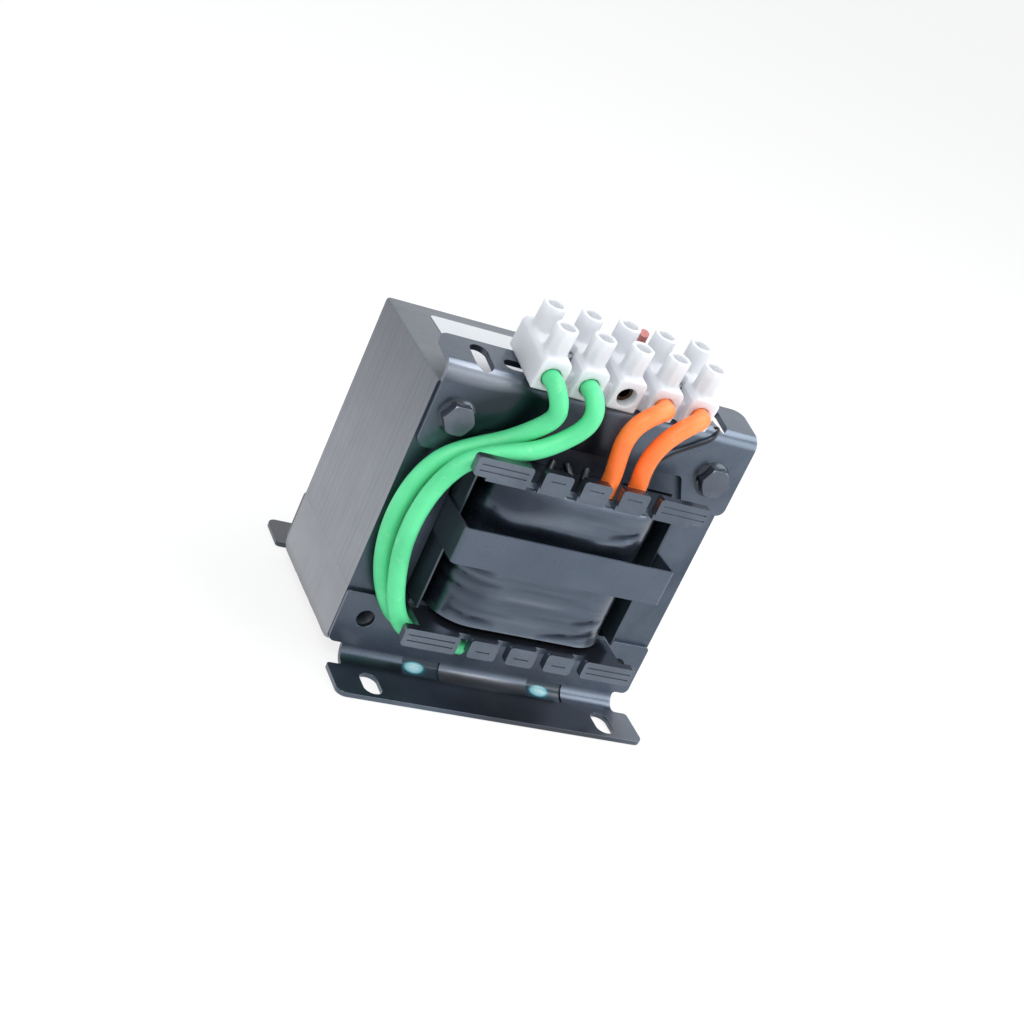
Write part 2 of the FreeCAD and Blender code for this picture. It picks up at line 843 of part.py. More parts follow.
# Lead routes, after the end that lies in the block. An upper point is its place across, its
# distance before the core and its rise above the window. A side point is its distance in from
# the core's left side, its distance before the core and its share of the window's height.
# The first pair runs from poles one and two, over the upper rail's left block and down the left
# limb, to the channel behind the lower rail. The second pair drops to the upper rail's gaps.
green_upper_1 = [
    (-18.2, 7.85, 22.4), (-16.6, 9.85, 19.2), (-15.3, 8.65, 15.4), (-17, 6.25, 11),
    (-21.8, 3.95, 5.4), (-27.9, 3.85, 2.3),
]
green_side_1 = [
    (9.1, 3.95, 0.9905), (5.4, 3.85, 0.9), (3.1, 3.35, 0.7571), (2.2, 2.85, 0.5905),
    (2.4, 2.75, 0.4214), (3.7, 2.85, 0.2619), (5.9, 3.45, 0.1238), (8.9, 3.85, 0.0071),
    (12.4, 3.95, -0.0762), (17.5, 4.05, -0.1), (22.6, 4.05, -0.1024),
]
green_upper_2 = [
    (-8.3, 8.05, 22.5), (-7.4, 10.25, 19.4), (-8, 10.15, 15.2), (-11.6, 9.45, 10.6),
    (-16.4, 8.95, 6.6), (-22.8, 8.65, 4.3), (-30, 8.65, 1.3),
]
green_side_2 = [
    (8.3, 8.65, 0.9381), (5.7, 8.45, 0.7952), (4.6, 8.15, 0.6357), (4.5, 7.95, 0.481),
    (5.4, 7.85, 0.3333), (7, 8.05, 0.1857), (9.1, 8.35, 0.0476), (12.2, 8.65, -0.0619),
    (17, 8.75, -0.1024), (22.8, 8.75, -0.1119), (29.4, 8.75, -0.119),
]
orange_upper_1 = [
    (10.6, 8.45, 23.7), (6.5, 10.15, 22.2), (3.6, 10.25, 18.8), (2.9, 9.75, 14.4), (3.8, 9.25, 9.4),
    (5, 8.65, 4.6),
]
orange_upper_2 = [
    (20.5, 8.45, 23.7), (16.5, 10.15, 21.8), (13.2, 10.25, 18), (11.4, 9.75, 13.2),
    (11.3, 9.25, 8.2), (12.4, 8.65, 4),
]
orange_end_1 = (5.0, 8.65)
orange_end_2 = (12.4, 8.65)


def upper_points(rows):
    return [Vector(x, -core_half_depth - ahead, window_top + rise) for x, ahead, rise in rows]


def side_points(rows):
    points = []
    for inset, ahead, share in rows:
        x = inset - core_half_width
        points.append(Vector(x, -core_half_depth - ahead, window_bottom + share * window_height))
    return points


def rail_end(place):
    """End of a lead that stands on the upper flange, in a gap of the rail."""
    return [Vector(place[0], -core_half_depth - place[1], flange_high + lead_end_clearance)]


def make_lead(pole, route):
    """Sleeved lead: its conductor in the pole's brass sleeve, its sleeving along the route."""
    x = pole_places()[pole]
    inside = flange_point(x, entry_depth - lead_end_clearance, entry_height)
    mouth = flange_point(x, -lead_straight, entry_height)
    sleeving = tube_along([inside, mouth] + route, lead_radius)
    tip = flange_point(x, entry_depth + conductor_reach, entry_height)
    return sleeving.fuse(rod(conductor_radius, inside, tip)).removeSplitter()


def make_screen_wire():
    """Thin wire from the upper rail's last gap, up the bracket and into the right slot."""
    leg = -core_half_depth - sheet - 2 * screen_wire_radius
    floor_z = flange_high + lead_end_clearance
    points = [
        Vector(15.5, -core_half_depth - 7.8, floor_z),
        Vector(15.5, -core_half_depth - 7.8, floor_z + 4.2),
        Vector(16.4, leg - 2.6, floor_z + 8.4),
        Vector(20.6, leg - 0.4, floor_z + 11.2),
        Vector(26.0, leg, floor_z + 14.6),
        Vector(29.6, leg - 0.5, floor_z + 17.4),
        Vector(31.4, leg + 1.6, floor_z + 19.6),
        Vector(31.9, leg + 4.4, floor_z + 19.2),
        Vector(32.0, leg + 6.0, floor_z + 17.0),
    ]
    return tube_along(points, screen_wire_radius)


def make_tail():
    """Short red-brown sleeved end behind the block, out of the fourth pole."""
    x = pole_places()[3]
    points = [
        flange_point(x, block_depth - entry_depth + lead_end_clearance, entry_height),
        flange_point(x, block_depth + 2.0, entry_height),
        flange_point(x - 0.4, block_depth + 4.0, entry_height + 3.4),
        flange_point(x - 1.1, block_depth + 3.0, entry_height + 6.8),
    ]
    return tube_along(points, tail_radius)


def make_splices():
    """Varnished solder joints that stand on the upper flange and lean on the bracket."""
    shapes = []
    for x, lean in ((-8.4, 0.4), (-3.5, -0.4), (0.9, 0.3)):
        reach = Vector(lean, 0.75, 0.6).normalize() * (splice_length / 2)
        middle = Vector(x, -core_half_depth - splice_inset, flange_high + splice_radius + reach.z)
        shape = rod(splice_radius, middle - reach, middle + reach)
        for end in (middle - reach, middle + reach):
            shape = shape.fuse(Part.makeSphere(splice_radius, end))
        shapes.append(shape.removeSplitter())
    return shapes


def main():
    os.makedirs("parts", exist_ok=True)
    export("e_core_stack", make_e_core())
    export("i_core_stack", make_i_core())
    export("bobbin", make_bobbin())
    for name, ring in make_windings().items():
        export(name, ring)
    export("window_liner_left", make_liner(-1))
    export("window_liner_right", make_liner(1))
    export("coil_strap", make_strap())
    export("terminal_bracket", make_terminal_bracket())
    export("front_foot", make_foot(True))
    export("rear_foot", mirrored_in_y(make_foot(False)))
    films = make_varnish_films()
    export("varnish_film_left", films[0])
    export("varnish_film_right", films[1])
    export("core_bolts", Part.makeCompound(make_core_bolts()))
    export("core_washers", Part.makeCompound(make_core_washers()))
    export("core_nuts", Part.makeCompound(make_core_nuts()))
    export("core_label", make_label())
    export("terminal_housing", make_terminal_housing())
    for k, x in enumerate(pole_places()):
        export("terminal_sleeve_" + str(k + 1), make_terminal_sleeve(x))
    export("terminal_screws", Part.makeCompound(make_terminal_screws()))
    export("block_screws", Part.makeCompound(make_block_screws()))
    export("block_nuts", Part.makeCompound(make_block_nuts()))
    export("green_lead_1", make_lead(0, upper_points(green_upper_1) + side_points(green_side_1)))
    export("green_lead_2", make_lead(1, upper_points(green_upper_2) + side_points(green_side_2)))
    export("orange_lead_1", make_lead(3, upper_points(orange_upper_1) + rail_end(orange_end_1)))
    export("orange_lead_2", make_lead(4, upper_points(orange_upper_2) + rail_end(orange_end_2)))
    export("screen_wire", make_screen_wire())
    export("red_sleeved_tail", make_tail())
    export("winding_splices", Part.makeCompound(make_splices()))


main()
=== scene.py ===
import math
import random

import bmesh
import bpy
from mathutils import Matrix, Vector


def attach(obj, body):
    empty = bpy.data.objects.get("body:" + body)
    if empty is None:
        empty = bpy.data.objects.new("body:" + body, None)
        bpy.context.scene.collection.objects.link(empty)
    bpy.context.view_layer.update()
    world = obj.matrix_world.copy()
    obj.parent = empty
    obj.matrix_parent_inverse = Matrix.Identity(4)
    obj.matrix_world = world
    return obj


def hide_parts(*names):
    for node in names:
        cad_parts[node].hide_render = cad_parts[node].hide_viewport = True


# The laminated chassis transformer, dressed over its CAD frame.
# Sizes are written in millimetres and turned into metres with MM, unless a comment says metres.
MM = 0.001
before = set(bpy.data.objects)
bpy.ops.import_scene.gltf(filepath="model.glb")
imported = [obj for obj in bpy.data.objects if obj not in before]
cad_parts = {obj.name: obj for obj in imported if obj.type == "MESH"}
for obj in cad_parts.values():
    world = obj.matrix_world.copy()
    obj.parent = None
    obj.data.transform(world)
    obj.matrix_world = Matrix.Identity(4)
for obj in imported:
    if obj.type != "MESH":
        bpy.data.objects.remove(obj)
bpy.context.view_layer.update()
scene = bpy.context.scene
random.seed(11)


# Mesh helpers

def new_object(name, mesh):
    obj = bpy.data.objects.new(name, mesh)
    scene.collection.objects.link(obj)
    return obj


def mesh_from(name, verts, faces):
    mesh = bpy.data.meshes.new(name)
    mesh.from_pydata([tuple(float(c) * MM for c in v) for v in verts], [], faces)
    mesh.validate()
    return mesh


def shade(obj, angle=38):
    obj.data.shade_smooth()
    obj.data.set_sharp_from_angle(angle=math.radians(angle))
    return obj


def fix_normals(mesh):
    b = bmesh.new()
    b.from_mesh(mesh)
    bmesh.ops.recalc_face_normals(b, faces=b.faces)
    b.to_mesh(mesh)
    b.free()


def apply_modifiers(obj):
    graph = bpy.context.evaluated_depsgraph_get()
    mesh = bpy.data.meshes.new_from_object(obj.evaluated_get(graph))
    obj.modifiers.clear()
    obj.data = mesh
    return obj


def finish_piece(obj, slot, material, *nodes):
    """Give a piece its material, put it under the root body and hide the CAD nodes it stands for. The slot
    is not used.
    """
    obj.data.materials.clear()
    obj.data.materials.append(material)
    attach(obj, "root")
    if nodes:
        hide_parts(*nodes)
    return obj


WELD_DISTANCE = 0.004
FLAT_ANGLE = math.radians(0.8)
CORNER_ANGLE = math.radians(32)


def node_copy(node, name):
    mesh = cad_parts[node].data.copy()
    mesh.name = name
    return new_object(name, mesh)


def refined(node, name, width):
    """A copy of a CAD node's mesh with its corners eased and its flat faces shaded flat."""
    obj = node_copy(node, name)
    b = bmesh.new()
    b.from_mesh(obj.data)
    bmesh.ops.remove_doubles(b, verts=b.verts, dist=WELD_DISTANCE * MM)
    bmesh.ops.dissolve_limit(b, angle_limit=FLAT_ANGLE, verts=b.verts, edges=b.edges)
    b.to_mesh(obj.data)
    b.free()
    bevel = obj.modifiers.new("edge", "BEVEL")
    bevel.width = width * MM
    bevel.segments = 2
    bevel.limit_method = "ANGLE"
    bevel.angle_limit = CORNER_ANGLE
    bevel.use_clamp_overlap = True
    shade(apply_modifiers(obj))
    level = obj.modifiers.new("flat_faces", "WEIGHTED_NORMAL")
    level.keep_sharp = True
    return apply_modifiers(obj)


def softened(node, name, voxel, repeats):
    """A copy of a CAD node's mesh with every corner rounded a little, as moulded plastic is."""
    obj = node_copy(node, name)
    remesh = obj.modifiers.new("skin", "REMESH")
    remesh.mode = "VOXEL"
    remesh.voxel_size = voxel * MM
    smooth = obj.modifiers.new("smooth", "SMOOTH")
    smooth.factor = 0.5
    smooth.iterations = repeats
    apply_modifiers(obj)
    obj.data.shade_smooth()
    return obj


def grid(name, rows, closed_u=False, closed_v=False):
    """Quads over rows of points. closed_u joins each row's ends, closed_v the last row and the first."""
    count = len(rows[0])
    verts = [p for row in rows for p in row]
    faces = []
    for i in range(len(rows) if closed_v else len(rows) - 1):
        j = (i + 1) % len(rows)
        for k in range(count if closed_u else count - 1):
            m = (k + 1) % count
            faces.append((i * count + k, i * count + m, j * count + m, j * count + k))
    mesh = mesh_from(name, verts, faces)
    fix_normals(mesh)
    return new_object(name, mesh)


def wave(x, seed):
    """Smooth repeatable noise of one number, about -1 to 1."""
    total = 0
    for k, share in ((1, 0.55), (2.3, 0.3), (4.9, 0.15)):
        total += share * math.sin(x * k + seed * 1.7 * k + math.sin(x * k * 0.63 + seed))
    return total


def cable(name, points, radius):
    """A round cord along a smooth curve through given points."""
    curve = bpy.data.curves.new(name, "CURVE")
    curve.dimensions = "3D"
    spline = curve.splines.new("NURBS")
    spline.points.add(len(points) - 1)
    for point, co in zip(spline.points, points):
        point.co = (co[0] * MM, co[1] * MM, co[2] * MM, 1)
    spline.order_u = 3
    spline.use_endpoint_u = True
    spline.resolution_u = 10
    curve.bevel_depth = radius * MM
    curve.bevel_resolution = 7
    curve.use_fill_caps = True
    return new_object(name, curve)


# Materials

BLACK = (0, 0, 0)
WHITE = (1, 1, 1)


def grey(value):
    return (value, value, value)


class Shader:
    """One material, with short calls for the nodes that this script uses."""

    def __init__(self, name):
        self.material = bpy.data.materials.new(name)
        self.material.use_nodes = True
        self.tree = self.material.node_tree
        self.tree.nodes.clear()
        self.out = self.add("ShaderNodeOutputMaterial")
        self.bsdf = self.add("ShaderNodeBsdfPrincipled")
        self.link(self.bsdf, "BSDF", self.out, "Surface")
        self.coords = self.add("ShaderNodeTexCoord")

    def add(self, kind, **values):
        node = self.tree.nodes.new(kind)
        for key, value in values.items():
            setattr(node, key, value)
        return node

    def link(self, a, out, b, into):
        self.tree.links.new(a.outputs[out], b.inputs[into])

    def set(self, **values):
        for key, value in values.items():
            self.bsdf.inputs[key.replace("_", " ")].default_value = value

    def noise(self, scale, detail=4, rough=0.55, distortion=0.0, stretch=(1, 1, 1)):
        place = self.add("ShaderNodeMapping")
        place.inputs["Scale"].default_value = stretch
        self.link(self.coords, "Object", place, "Vector")
        node = self.add("ShaderNodeTexNoise")
        node.inputs["Scale"].default_value = scale
        node.inputs["Detail"].default_value = detail
        node.inputs["Roughness"].default_value = rough
        node.inputs["Distortion"].default_value = distortion
        self.link(place, "Vector", node, "Vector")
        return node

    def ramp(self, source, stops, output="Fac"):
        node = self.add("ShaderNodeValToRGB")
        ramp = node.color_ramp
        while len(ramp.elements) < len(stops):
            ramp.elements.new(0.5)
        for element, (place, colour) in zip(ramp.elements, stops):
            element.position = place
            element.color = (*colour, 1)
        self.link(source, output, node, "Fac")
        return node

    def mix(self, factor, a, b, fac_output=None, kind="MIX"):
        """Mix of two colours or nodes, by a number or by a node's output."""
        node = self.add("ShaderNodeMix", data_type="RGBA", blend_type=kind)
        if fac_output is None:
            node.inputs[0].default_value = factor
        else:
            self.link(factor, fac_output, node, 0)
        for value, place in ((a, 6), (b, 7)):
            if isinstance(value, tuple):
                node.inputs[place].default_value = (*value, 1)
            else:
                self.link(value, self.colour_output(value), node, place)
        return node

    def times(self, a, b):
        return self.mix(1.0, a, b, kind="MULTIPLY")

    def colour_output(self, node):
        """A ramp gives its colour under that name, a colour mix as its third output."""
        return "Color" if "Color" in node.outputs else 2

    def colour(self, node):
        self.link(node, self.colour_output(node), self.bsdf, "Base Color")

    def roughness(self, source, low, high):
        node = self.add("ShaderNodeMapRange")
        node.inputs["From Min"].default_value = 0.3
        node.inputs["From Max"].default_value = 0.7
        node.inputs["To Min"].default_value = low
        node.inputs["To Max"].default_value = high
        self.link(source, "Fac", node, "Value")
        self.link(node, "Result", self.bsdf, "Roughness")

    def bumps(self, *sources):
        """Chained bumps, each a (node, strength, distance in millimetres)."""
        last = None
        for source, strength, distance in sources:
            node = self.add("ShaderNodeBump")
            node.inputs["Strength"].default_value = strength
            node.inputs["Distance"].default_value = distance * MM
            self.link(source, "Fac", node, "Height")
            if last is not None:
                self.link(last, "Normal", node, "Normal")
            last = node
        self.link(last, "Normal", self.bsdf, "Normal")
        self.link(last, "Normal", self.bsdf, "Coat Normal")
        return self.material

    def facing(self, axis, low, high, sign=1):
        """One where the surface faces along an axis, nought where it turns away."""
        parts = self.add("ShaderNodeSeparateXYZ")
        self.link(self.coords, "Normal", parts, "Vector")
        node = self.add("ShaderNodeMapRange", interpolation_type="SMOOTHSTEP")
        node.inputs["From Min"].default_value = sign * low
        node.inputs["From Max"].default_value = sign * high
        self.link(parts, axis, node, "Value")
        return node

    def patch(self, middle, reach):
        """One at a place, falling to nought at a distance that differs along each axis."""
        place = self.add("ShaderNodeMapping", vector_type="TEXTURE")
        place.inputs["Location"].default_value = [c * MM for c in middle]
        place.inputs["Scale"].default_value = [c * MM for c in reach]
        self.link(self.coords, "Object", place, "Vector")
        ball = self.add("ShaderNodeTexGradient", gradient_type="SPHERICAL")
        self.link(place, "Vector", ball, "Vector")
        return ball

    def with_painted_light(self, skin, painted_light, edge):
        """Soft patches of painted light and shade, each a (middle, reach, colour, strength)."""
        for middle, reach, colour, strength in painted_light:
            share = self.ramp(self.patch(middle, reach), [(0.0, BLACK), (edge, grey(strength))])
            skin = self.mix(share, skin, colour, "Color")
        return skin


def varnished(name, dark, light, metallic, rough=(0.3, 0.42), grain=1.0, coat=0.5, teal=0.25,
              up_face_shade=1.0, painted_light=()):
    """Dip varnish over steel or plastic: uneven film, slight orange peel, thicker teal pools.

    The faces that look up can take painted shade, and the skin can take soft patches of painted shade and
    painted highlight.
    """
    s = Shader(name)
    broad = s.noise(55, 5, 0.6, 0.4)
    fine = s.noise(900, 4, 0.6)
    pools = s.noise(130, 3, 0.5, 0.9)
    base = s.ramp(broad, [(0.32, dark), (0.68, light)])
    pooled = s.ramp(pools, [(0.55, BLACK), (0.8, grey(teal))])
    tinted = s.mix(pooled, base, (0.05, 0.12, 0.15), "Color")
    specks = s.ramp(s.noise(2600, 2, 0.5), [(0.26, grey(0.55)), (0.36, WHITE)])
    skin = s.times(tinted, specks)
    # Painted shade on the faces that look up
    if up_face_shade < 1.0:
        shaded = s.times(skin, (up_face_shade, up_face_shade, up_face_shade * 1.1))
        skin = s.mix(s.facing("Z", 0.45, 0.8), skin, shaded, "Result")
    # Soft patches of painted shade and painted highlight over the skin
    s.colour(s.with_painted_light(skin, painted_light, 0.4))
    s.set(Metallic=metallic, Coat_Weight=coat, Coat_Roughness=0.16, Coat_IOR=1.5)
    s.roughness(broad, *rough)
    return s.bumps((broad, 0.35 * grain, 0.12), (fine, 0.22 * grain, 0.02))


def sleeving(name, dark, light):
    """Silicone sleeving: satin skin with faint handling marks."""
    s = Shader(name)
    broad = s.noise(70, 4, 0.55)
    fine = s.noise(1500, 3, 0.5)
    dust = s.ramp(s.noise(420, 5, 0.65), [(0.6, BLACK), (0.82, grey(0.22))])
    base = s.ramp(broad, [(0.35, dark), (0.65, light)])
    s.colour(s.mix(dust, base, (0.75, 0.78, 0.74), "Color"))
    s.set(Subsurface_Weight=0.25, Subsurface_Scale=0.0012, Subsurface_Radius=WHITE,
          Coat_Weight=0.12, Coat_Roughness=0.35)
    s.roughness(fine, 0.42, 0.56)
    return s.bumps((broad, 0.2, 0.12), (fine, 0.18, 0.015))


def metal(name, dark, light):
    """Bare metal with fine marks along its height."""
    s = Shader(name)
    fine = s.noise(700, 4, 0.7, stretch=(1, 1, 0.35))
    s.colour(s.ramp(s.noise(160, 4, 0.6), [(0.3, dark), (0.7, light)]))
    s.set(Metallic=1.0)
    s.roughness(fine, 0.25, 0.4)
    return s.bumps((fine, 0.25, 0.02))


def copper_material():
    """Enamelled wire, as bands round the winding."""
    s = Shader("copper_winding")
    turns = s.add("ShaderNodeTexWave", wave_type="BANDS", bands_direction="Z")
    turns.inputs["Scale"].default_value = 900
    turns.inputs["Distortion"].default_value = 0.6
    s.link(s.coords, "Object", turns, "Vector")
    s.colour(s.ramp(turns, [(0.2, (0.16, 0.05, 0.02)), (0.8, (0.5, 0.2, 0.09))]))
    s.set(Metallic=0.8, Roughness=0.32)
    return s.bumps((turns, 0.5, 0.15))


def tape_material():
    """Varnished tape: streaks along the wrap, painted shade in the folds and round the front's corners,
    painted highlight on the ridges and the bottom lip, and two soft patches of painted shade.
    """
    s = Shader("coil_tape_wrap")
    tone = s.add("ShaderNodeAttribute", attribute_name="fold_shading")
    streak = s.noise(420, 4, 0.6, 0.3, stretch=(0.1, 0.1, 1))
    broad = s.noise(60, 4, 0.6, 0.5, stretch=(0.5, 0.5, 1))
    fine = s.noise(1100, 3, 0.6, stretch=(0.3, 0.3, 1))
    folds = s.ramp(tone, [(0.0, (0.008, 0.018, 0.032)), (0.25, (0.045, 0.06, 0.088)),
                          (0.5, (0.105, 0.132, 0.172)), (1.0, (0.36, 0.39, 0.43))])
    worn = s.ramp(streak, [(0.3, (0.7, 0.72, 0.75)), (0.55, (0.92, 0.93, 0.94)), (0.72, WHITE)])
    patches = s.ramp(broad, [(0.35, (0.78, 0.8, 0.84)), (0.6, WHITE)])
    skin = s.times(s.times(folds, worn), patches)
    # Two soft patches of painted shade on the front's left, high and low
    s.colour(s.with_painted_light(skin, (((-20, -33, 55.6), (19, 12, 5.2), (0.012, 0.020, 0.036), 0.85),
                              ((-20, -32, 29.5), (10, 12, 8), (0.04, 0.055, 0.08), 0.7)), 0.5))
    s.set(Metallic=0.9, Coat_Weight=0.4, Coat_Roughness=0.14)
    s.roughness(broad, 0.22, 0.34)
    return s.bumps((streak, 0.3, 0.05), (fine, 0.15, 0.015))


def lamination_material():
    """Edges of punched sheets, each with its own tone, under varnish that pools on top and in front."""
    s = Shader("lamination_steel")
    tone = s.add("ShaderNodeAttribute", attribute_name="sheet_tone")
    along = s.noise(300, 4, 0.6, stretch=(0.25, 1, 0.25))
    broad = s.noise(45, 4, 0.6, 0.3)
    base = s.ramp(tone, [(0.0, (0.20, 0.215, 0.24)), (0.45, (0.265, 0.28, 0.31)),
                         (1.0, (0.31, 0.325, 0.355))])
    patches = s.ramp(broad, [(0.35, (0.86, 0.86, 0.87)), (0.65, WHITE)])
    streaks = s.ramp(along, [(0.3, (0.88, 0.88, 0.89)), (0.6, WHITE)])
    edges = s.times(s.times(base, patches), streaks)
    height = s.add("ShaderNodeSeparateXYZ")
    s.link(s.coords, "Object", height, "Vector")
    climb = s.add("ShaderNodeMapRange")
    climb.inputs["From Max"].default_value = 0.08
    s.link(height, "Z", climb, "Value")
    # The side's sheets are darkest at the very bottom, lightest just above it, and darker towards the top
    height_tone = s.ramp(climb, [(0.05, (0.70, 0.68, 0.68)), (0.075, grey(0.96)), (0.2, (0.85, 0.85, 0.86)),
                             (0.32, (0.81, 0.82, 0.83)), (0.5, (0.77, 0.78, 0.8)),
                             (0.7, (0.6, 0.61, 0.64)), (0.92, (0.45, 0.465, 0.5))], "Result")
    side = s.times(edges, height_tone)
    pooled = s.ramp(broad, [(0.3, (0.096, 0.114, 0.136)), (0.7, (0.126, 0.145, 0.167))])
    top = s.mix(0.1, pooled, side)
    front = s.ramp(s.noise(60, 4, 0.6, 0.4), [(0.3, (0.055, 0.075, 0.105)), (0.7, (0.10, 0.125, 0.165))])
    forward_face = s.facing("Y", 0.5, 0.8, -1)
    with_top = s.mix(s.facing("Z", 0.55, 0.85), side, top, "Result")
    s.colour(s.mix(forward_face, with_top, front, "Result"))
    metal_share = s.add("ShaderNodeMapRange")
    metal_share.inputs["To Min"].default_value = 0.35
    metal_share.inputs["To Max"].default_value = 0.92
    s.link(forward_face, "Result", metal_share, "Value")
    s.link(metal_share, "Result", s.bsdf, "Metallic")
    s.set(Coat_Weight=0.3, Coat_Roughness=0.25)
    s.roughness(along, 0.32, 0.48)
    return s.bumps((along, 0.22, 0.03), (broad, 0.2, 0.05))


# Middle and reach of each film's thin patch
FILM_CLEARINGS = ((-18.0, -23.4, 1.65), (17.0, -23.4, 1.4))
FILM_CLEARING_REACH = (3.6, 3.0, 1.5)


def film_material():
    """Cured varnish across a cut-out: thick and dark at its rim, thin and clear in the middle."""
    s = Shader("varnish_film")
    left, right = (s.patch(middle, FILM_CLEARING_REACH) for middle in FILM_CLEARINGS)
    clear = s.add("ShaderNodeMath", operation="MAXIMUM")
    s.link(left, "Fac", clear, 0)
    s.link(right, "Fac", clear, 1)
    s.colour(s.ramp(clear, [(0.02, (0.05, 0.075, 0.10)), (0.2, (0.05, 0.20, 0.27)),
                            (0.4, (0.28, 0.62, 0.70)), (0.75, (0.52, 0.80, 0.87))], "Value"))
    open_share = s.ramp(clear, [(0.06, grey(0.05)), (0.3, grey(0.95))], "Value")
    s.link(open_share, "Color", s.bsdf, "Transmission Weight")
    s.set(IOR=1.2, Roughness=0.12, Coat_Weight=0.4, Coat_Roughness=0.1)
    return s.bumps((s.noise(900, 3, 0.5, stretch=(1, 1, 0.4)), 0.15, 0.03))


def block_material():
    """Milky nylon: light goes into it, and it shows faint flow lines."""
    s = Shader("block_plastic")
    flow = s.noise(300, 3, 0.5, stretch=(1, 1, 0.3))
    s.colour(s.ramp(s.noise(90, 4, 0.55), [(0.3, (0.715, 0.735, 0.78)), (0.7, (0.78, 0.80, 0.84))]))
    s.set(Transmission_Weight=0.18, IOR=1.45,
          Subsurface_Weight=0.7, Subsurface_Scale=0.003, Subsurface_Radius=WHITE)
    s.roughness(flow, 0.3, 0.4)
    return s.bumps((flow, 0.08, 0.02))


def label_material():
    """Coated paper, a little uneven, with nothing printed on it."""
    s = Shader("label_paper")
    broad = s.noise(40, 4, 0.5)
    fine = s.noise(1200, 3, 0.6)
    s.colour(s.ramp(broad, [(0.3, (0.49, 0.515, 0.535)), (0.7, (0.545, 0.565, 0.58))]))
    s.set(Coat_Weight=0.2, Coat_Roughness=0.3)
    s.roughness(fine, 0.4, 0.52)
    return s.bumps((broad, 0.3, 0.15), (fine, 0.1, 0.01))


SHEET_DARK, SHEET_LIGHT = (0.062, 0.083, 0.116), (0.106, 0.132, 0.174)
slate = varnished("varnished_bracket", SHEET_DARK, SHEET_LIGHT, 0.92, painted_light=(
    # Painted dark reflection over the leg's middle and a painted highlight along the left of the bend
    ((-15.5, -24, 69), (28, 12, 13.5), (0.007, 0.018, 0.027), 0.95),
    ((-34, -24.5, 79.2), (15, 4.5, 3.4), (0.27, 0.295, 0.34), 0.6)))
foot_varnish = varnished("varnished_foot", SHEET_DARK, SHEET_LIGHT, 0.92, painted_light=(
    # Painted dark reflection over the flange's right front and a painted highlight along the bend
    ((14, -35, 1.2), (28, 13, 5), (0.03, 0.034, 0.046), 0.8),
    ((-1, -25.4, 2.0), (21, 2.4, 1.9), (0.42, 0.43, 0.46), 0.85)))
# The rear foot's varnished sheet, darkened with painted shade, with more painted shade on the faces that
# look up
rear_foot_shaded = varnished("rear_foot_painted_shade", (0.030, 0.040, 0.054), (0.052, 0.064, 0.084), 0.92,
                         up_face_shade=0.6)
pool_varnish = varnished("varnished_pool", (0.018, 0.026, 0.036), (0.05, 0.062, 0.082), 0.88,
                         rough=(0.12, 0.25))
bolt_varnish = varnished("varnished_bolt", (0.075, 0.09, 0.12), (0.14, 0.158, 0.195), 0.88, grain=1.6)
# The bobbin's faces that look up take painted shade
moulding = varnished("bobbin_moulding", (0.080, 0.102, 0.134), (0.128, 0.156, 0.196), 0.85,
                     grain=1.5, up_face_shade=0.32)
strip = varnished("strap_strip", (0.078, 0.100, 0.136), (0.098, 0.122, 0.162), 0.8,
                  rough=(0.4, 0.48), grain=0.6, coat=0.15, teal=0.08)
tape = varnished("coil_tape", (0.066, 0.086, 0.118), (0.112, 0.138, 0.178), 0.9,
                 rough=(0.2, 0.34), grain=0.8)
board = varnished("liner_board", (0.02, 0.03, 0.042), (0.05, 0.07, 0.09), 0.4, rough=(0.26, 0.4))
green = sleeving("green_sleeving", (0.07, 0.56, 0.235), (0.10, 0.66, 0.29))
orange = sleeving("orange_sleeving", (0.90, 0.16, 0.02), (1.0, 0.25, 0.055))
red_brown = sleeving("tail_sleeving", (0.32, 0.08, 0.07), (0.62, 0.28, 0.26))
brass = metal("terminal_brass", (0.03, 0.017, 0.010), (0.10, 0.06, 0.035))
zinc = metal("terminal_steel", (0.42, 0.42, 0.43), (0.66, 0.66, 0.66))
wire_skin = varnished("wire_dark", (0.010, 0.010, 0.014), (0.024, 0.025, 0.03), 0.3,
                      rough=(0.5, 0.6), grain=0.6, coat=0.05)
knot_skin = varnished("varnished_solder", (0.006, 0.007, 0.010), (0.035, 0.037, 0.045), 0.7,
                      rough=(0.2, 0.35), grain=2.5, coat=0.45)
copper = copper_material()
film = film_material()
lamination = lamination_material()
nylon = block_material()
paper = label_material()


# Core: stacks of punched sheets

CORE_HALF_WIDTH = 42.0
CORE_HALF_DEPTH = 21.75
CORE_BOTTOM = 5.2
BEAD_BOTTOM = 3.3
WINDOW_BOTTOM = 19.2
WINDOW_TOP = 61.2
CORE_TOP = 75.2
TONGUE = 14.0
LIMB = 28.0
HOLE_X = 35.0
UPPER_HOLE_HEIGHT = 68.2
LOWER_HOLE_HEIGHT = 12.2
HOLE_RADIUS = 2.25
HOLE_DEPTH = 6
HOLE_STEPS = 28
SHEETS = 87
FEWEST_IN_BUNDLE, MOST_IN_BUNDLE = 2, 6
SHEET_PITCH = 2 * CORE_HALF_DEPTH / SHEETS
SHIFT_ACROSS = 0.03
SHIFT_UP = 0.006
# Rows of points across one sheet: place through its thickness and inset
SHEET_SECTION = ((0.02, 0.022), (0.12, 0.0), (0.88, 0.0), (0.98, 0.022))
# A sheet at a border of a bundle is darker than the rest
BORDER_TONES = (0.1, 0.4)
SHEET_TONES = (0.6, 1.0)
MIDDLE_TONE = 0.75
HOLE_TONE = 0.55
E_UNEVENNESS, I_UNEVENNESS = 0.65, 0.35
E_CORNER_RADIUS, I_CORNER_RADIUS = 0.8, 0.9


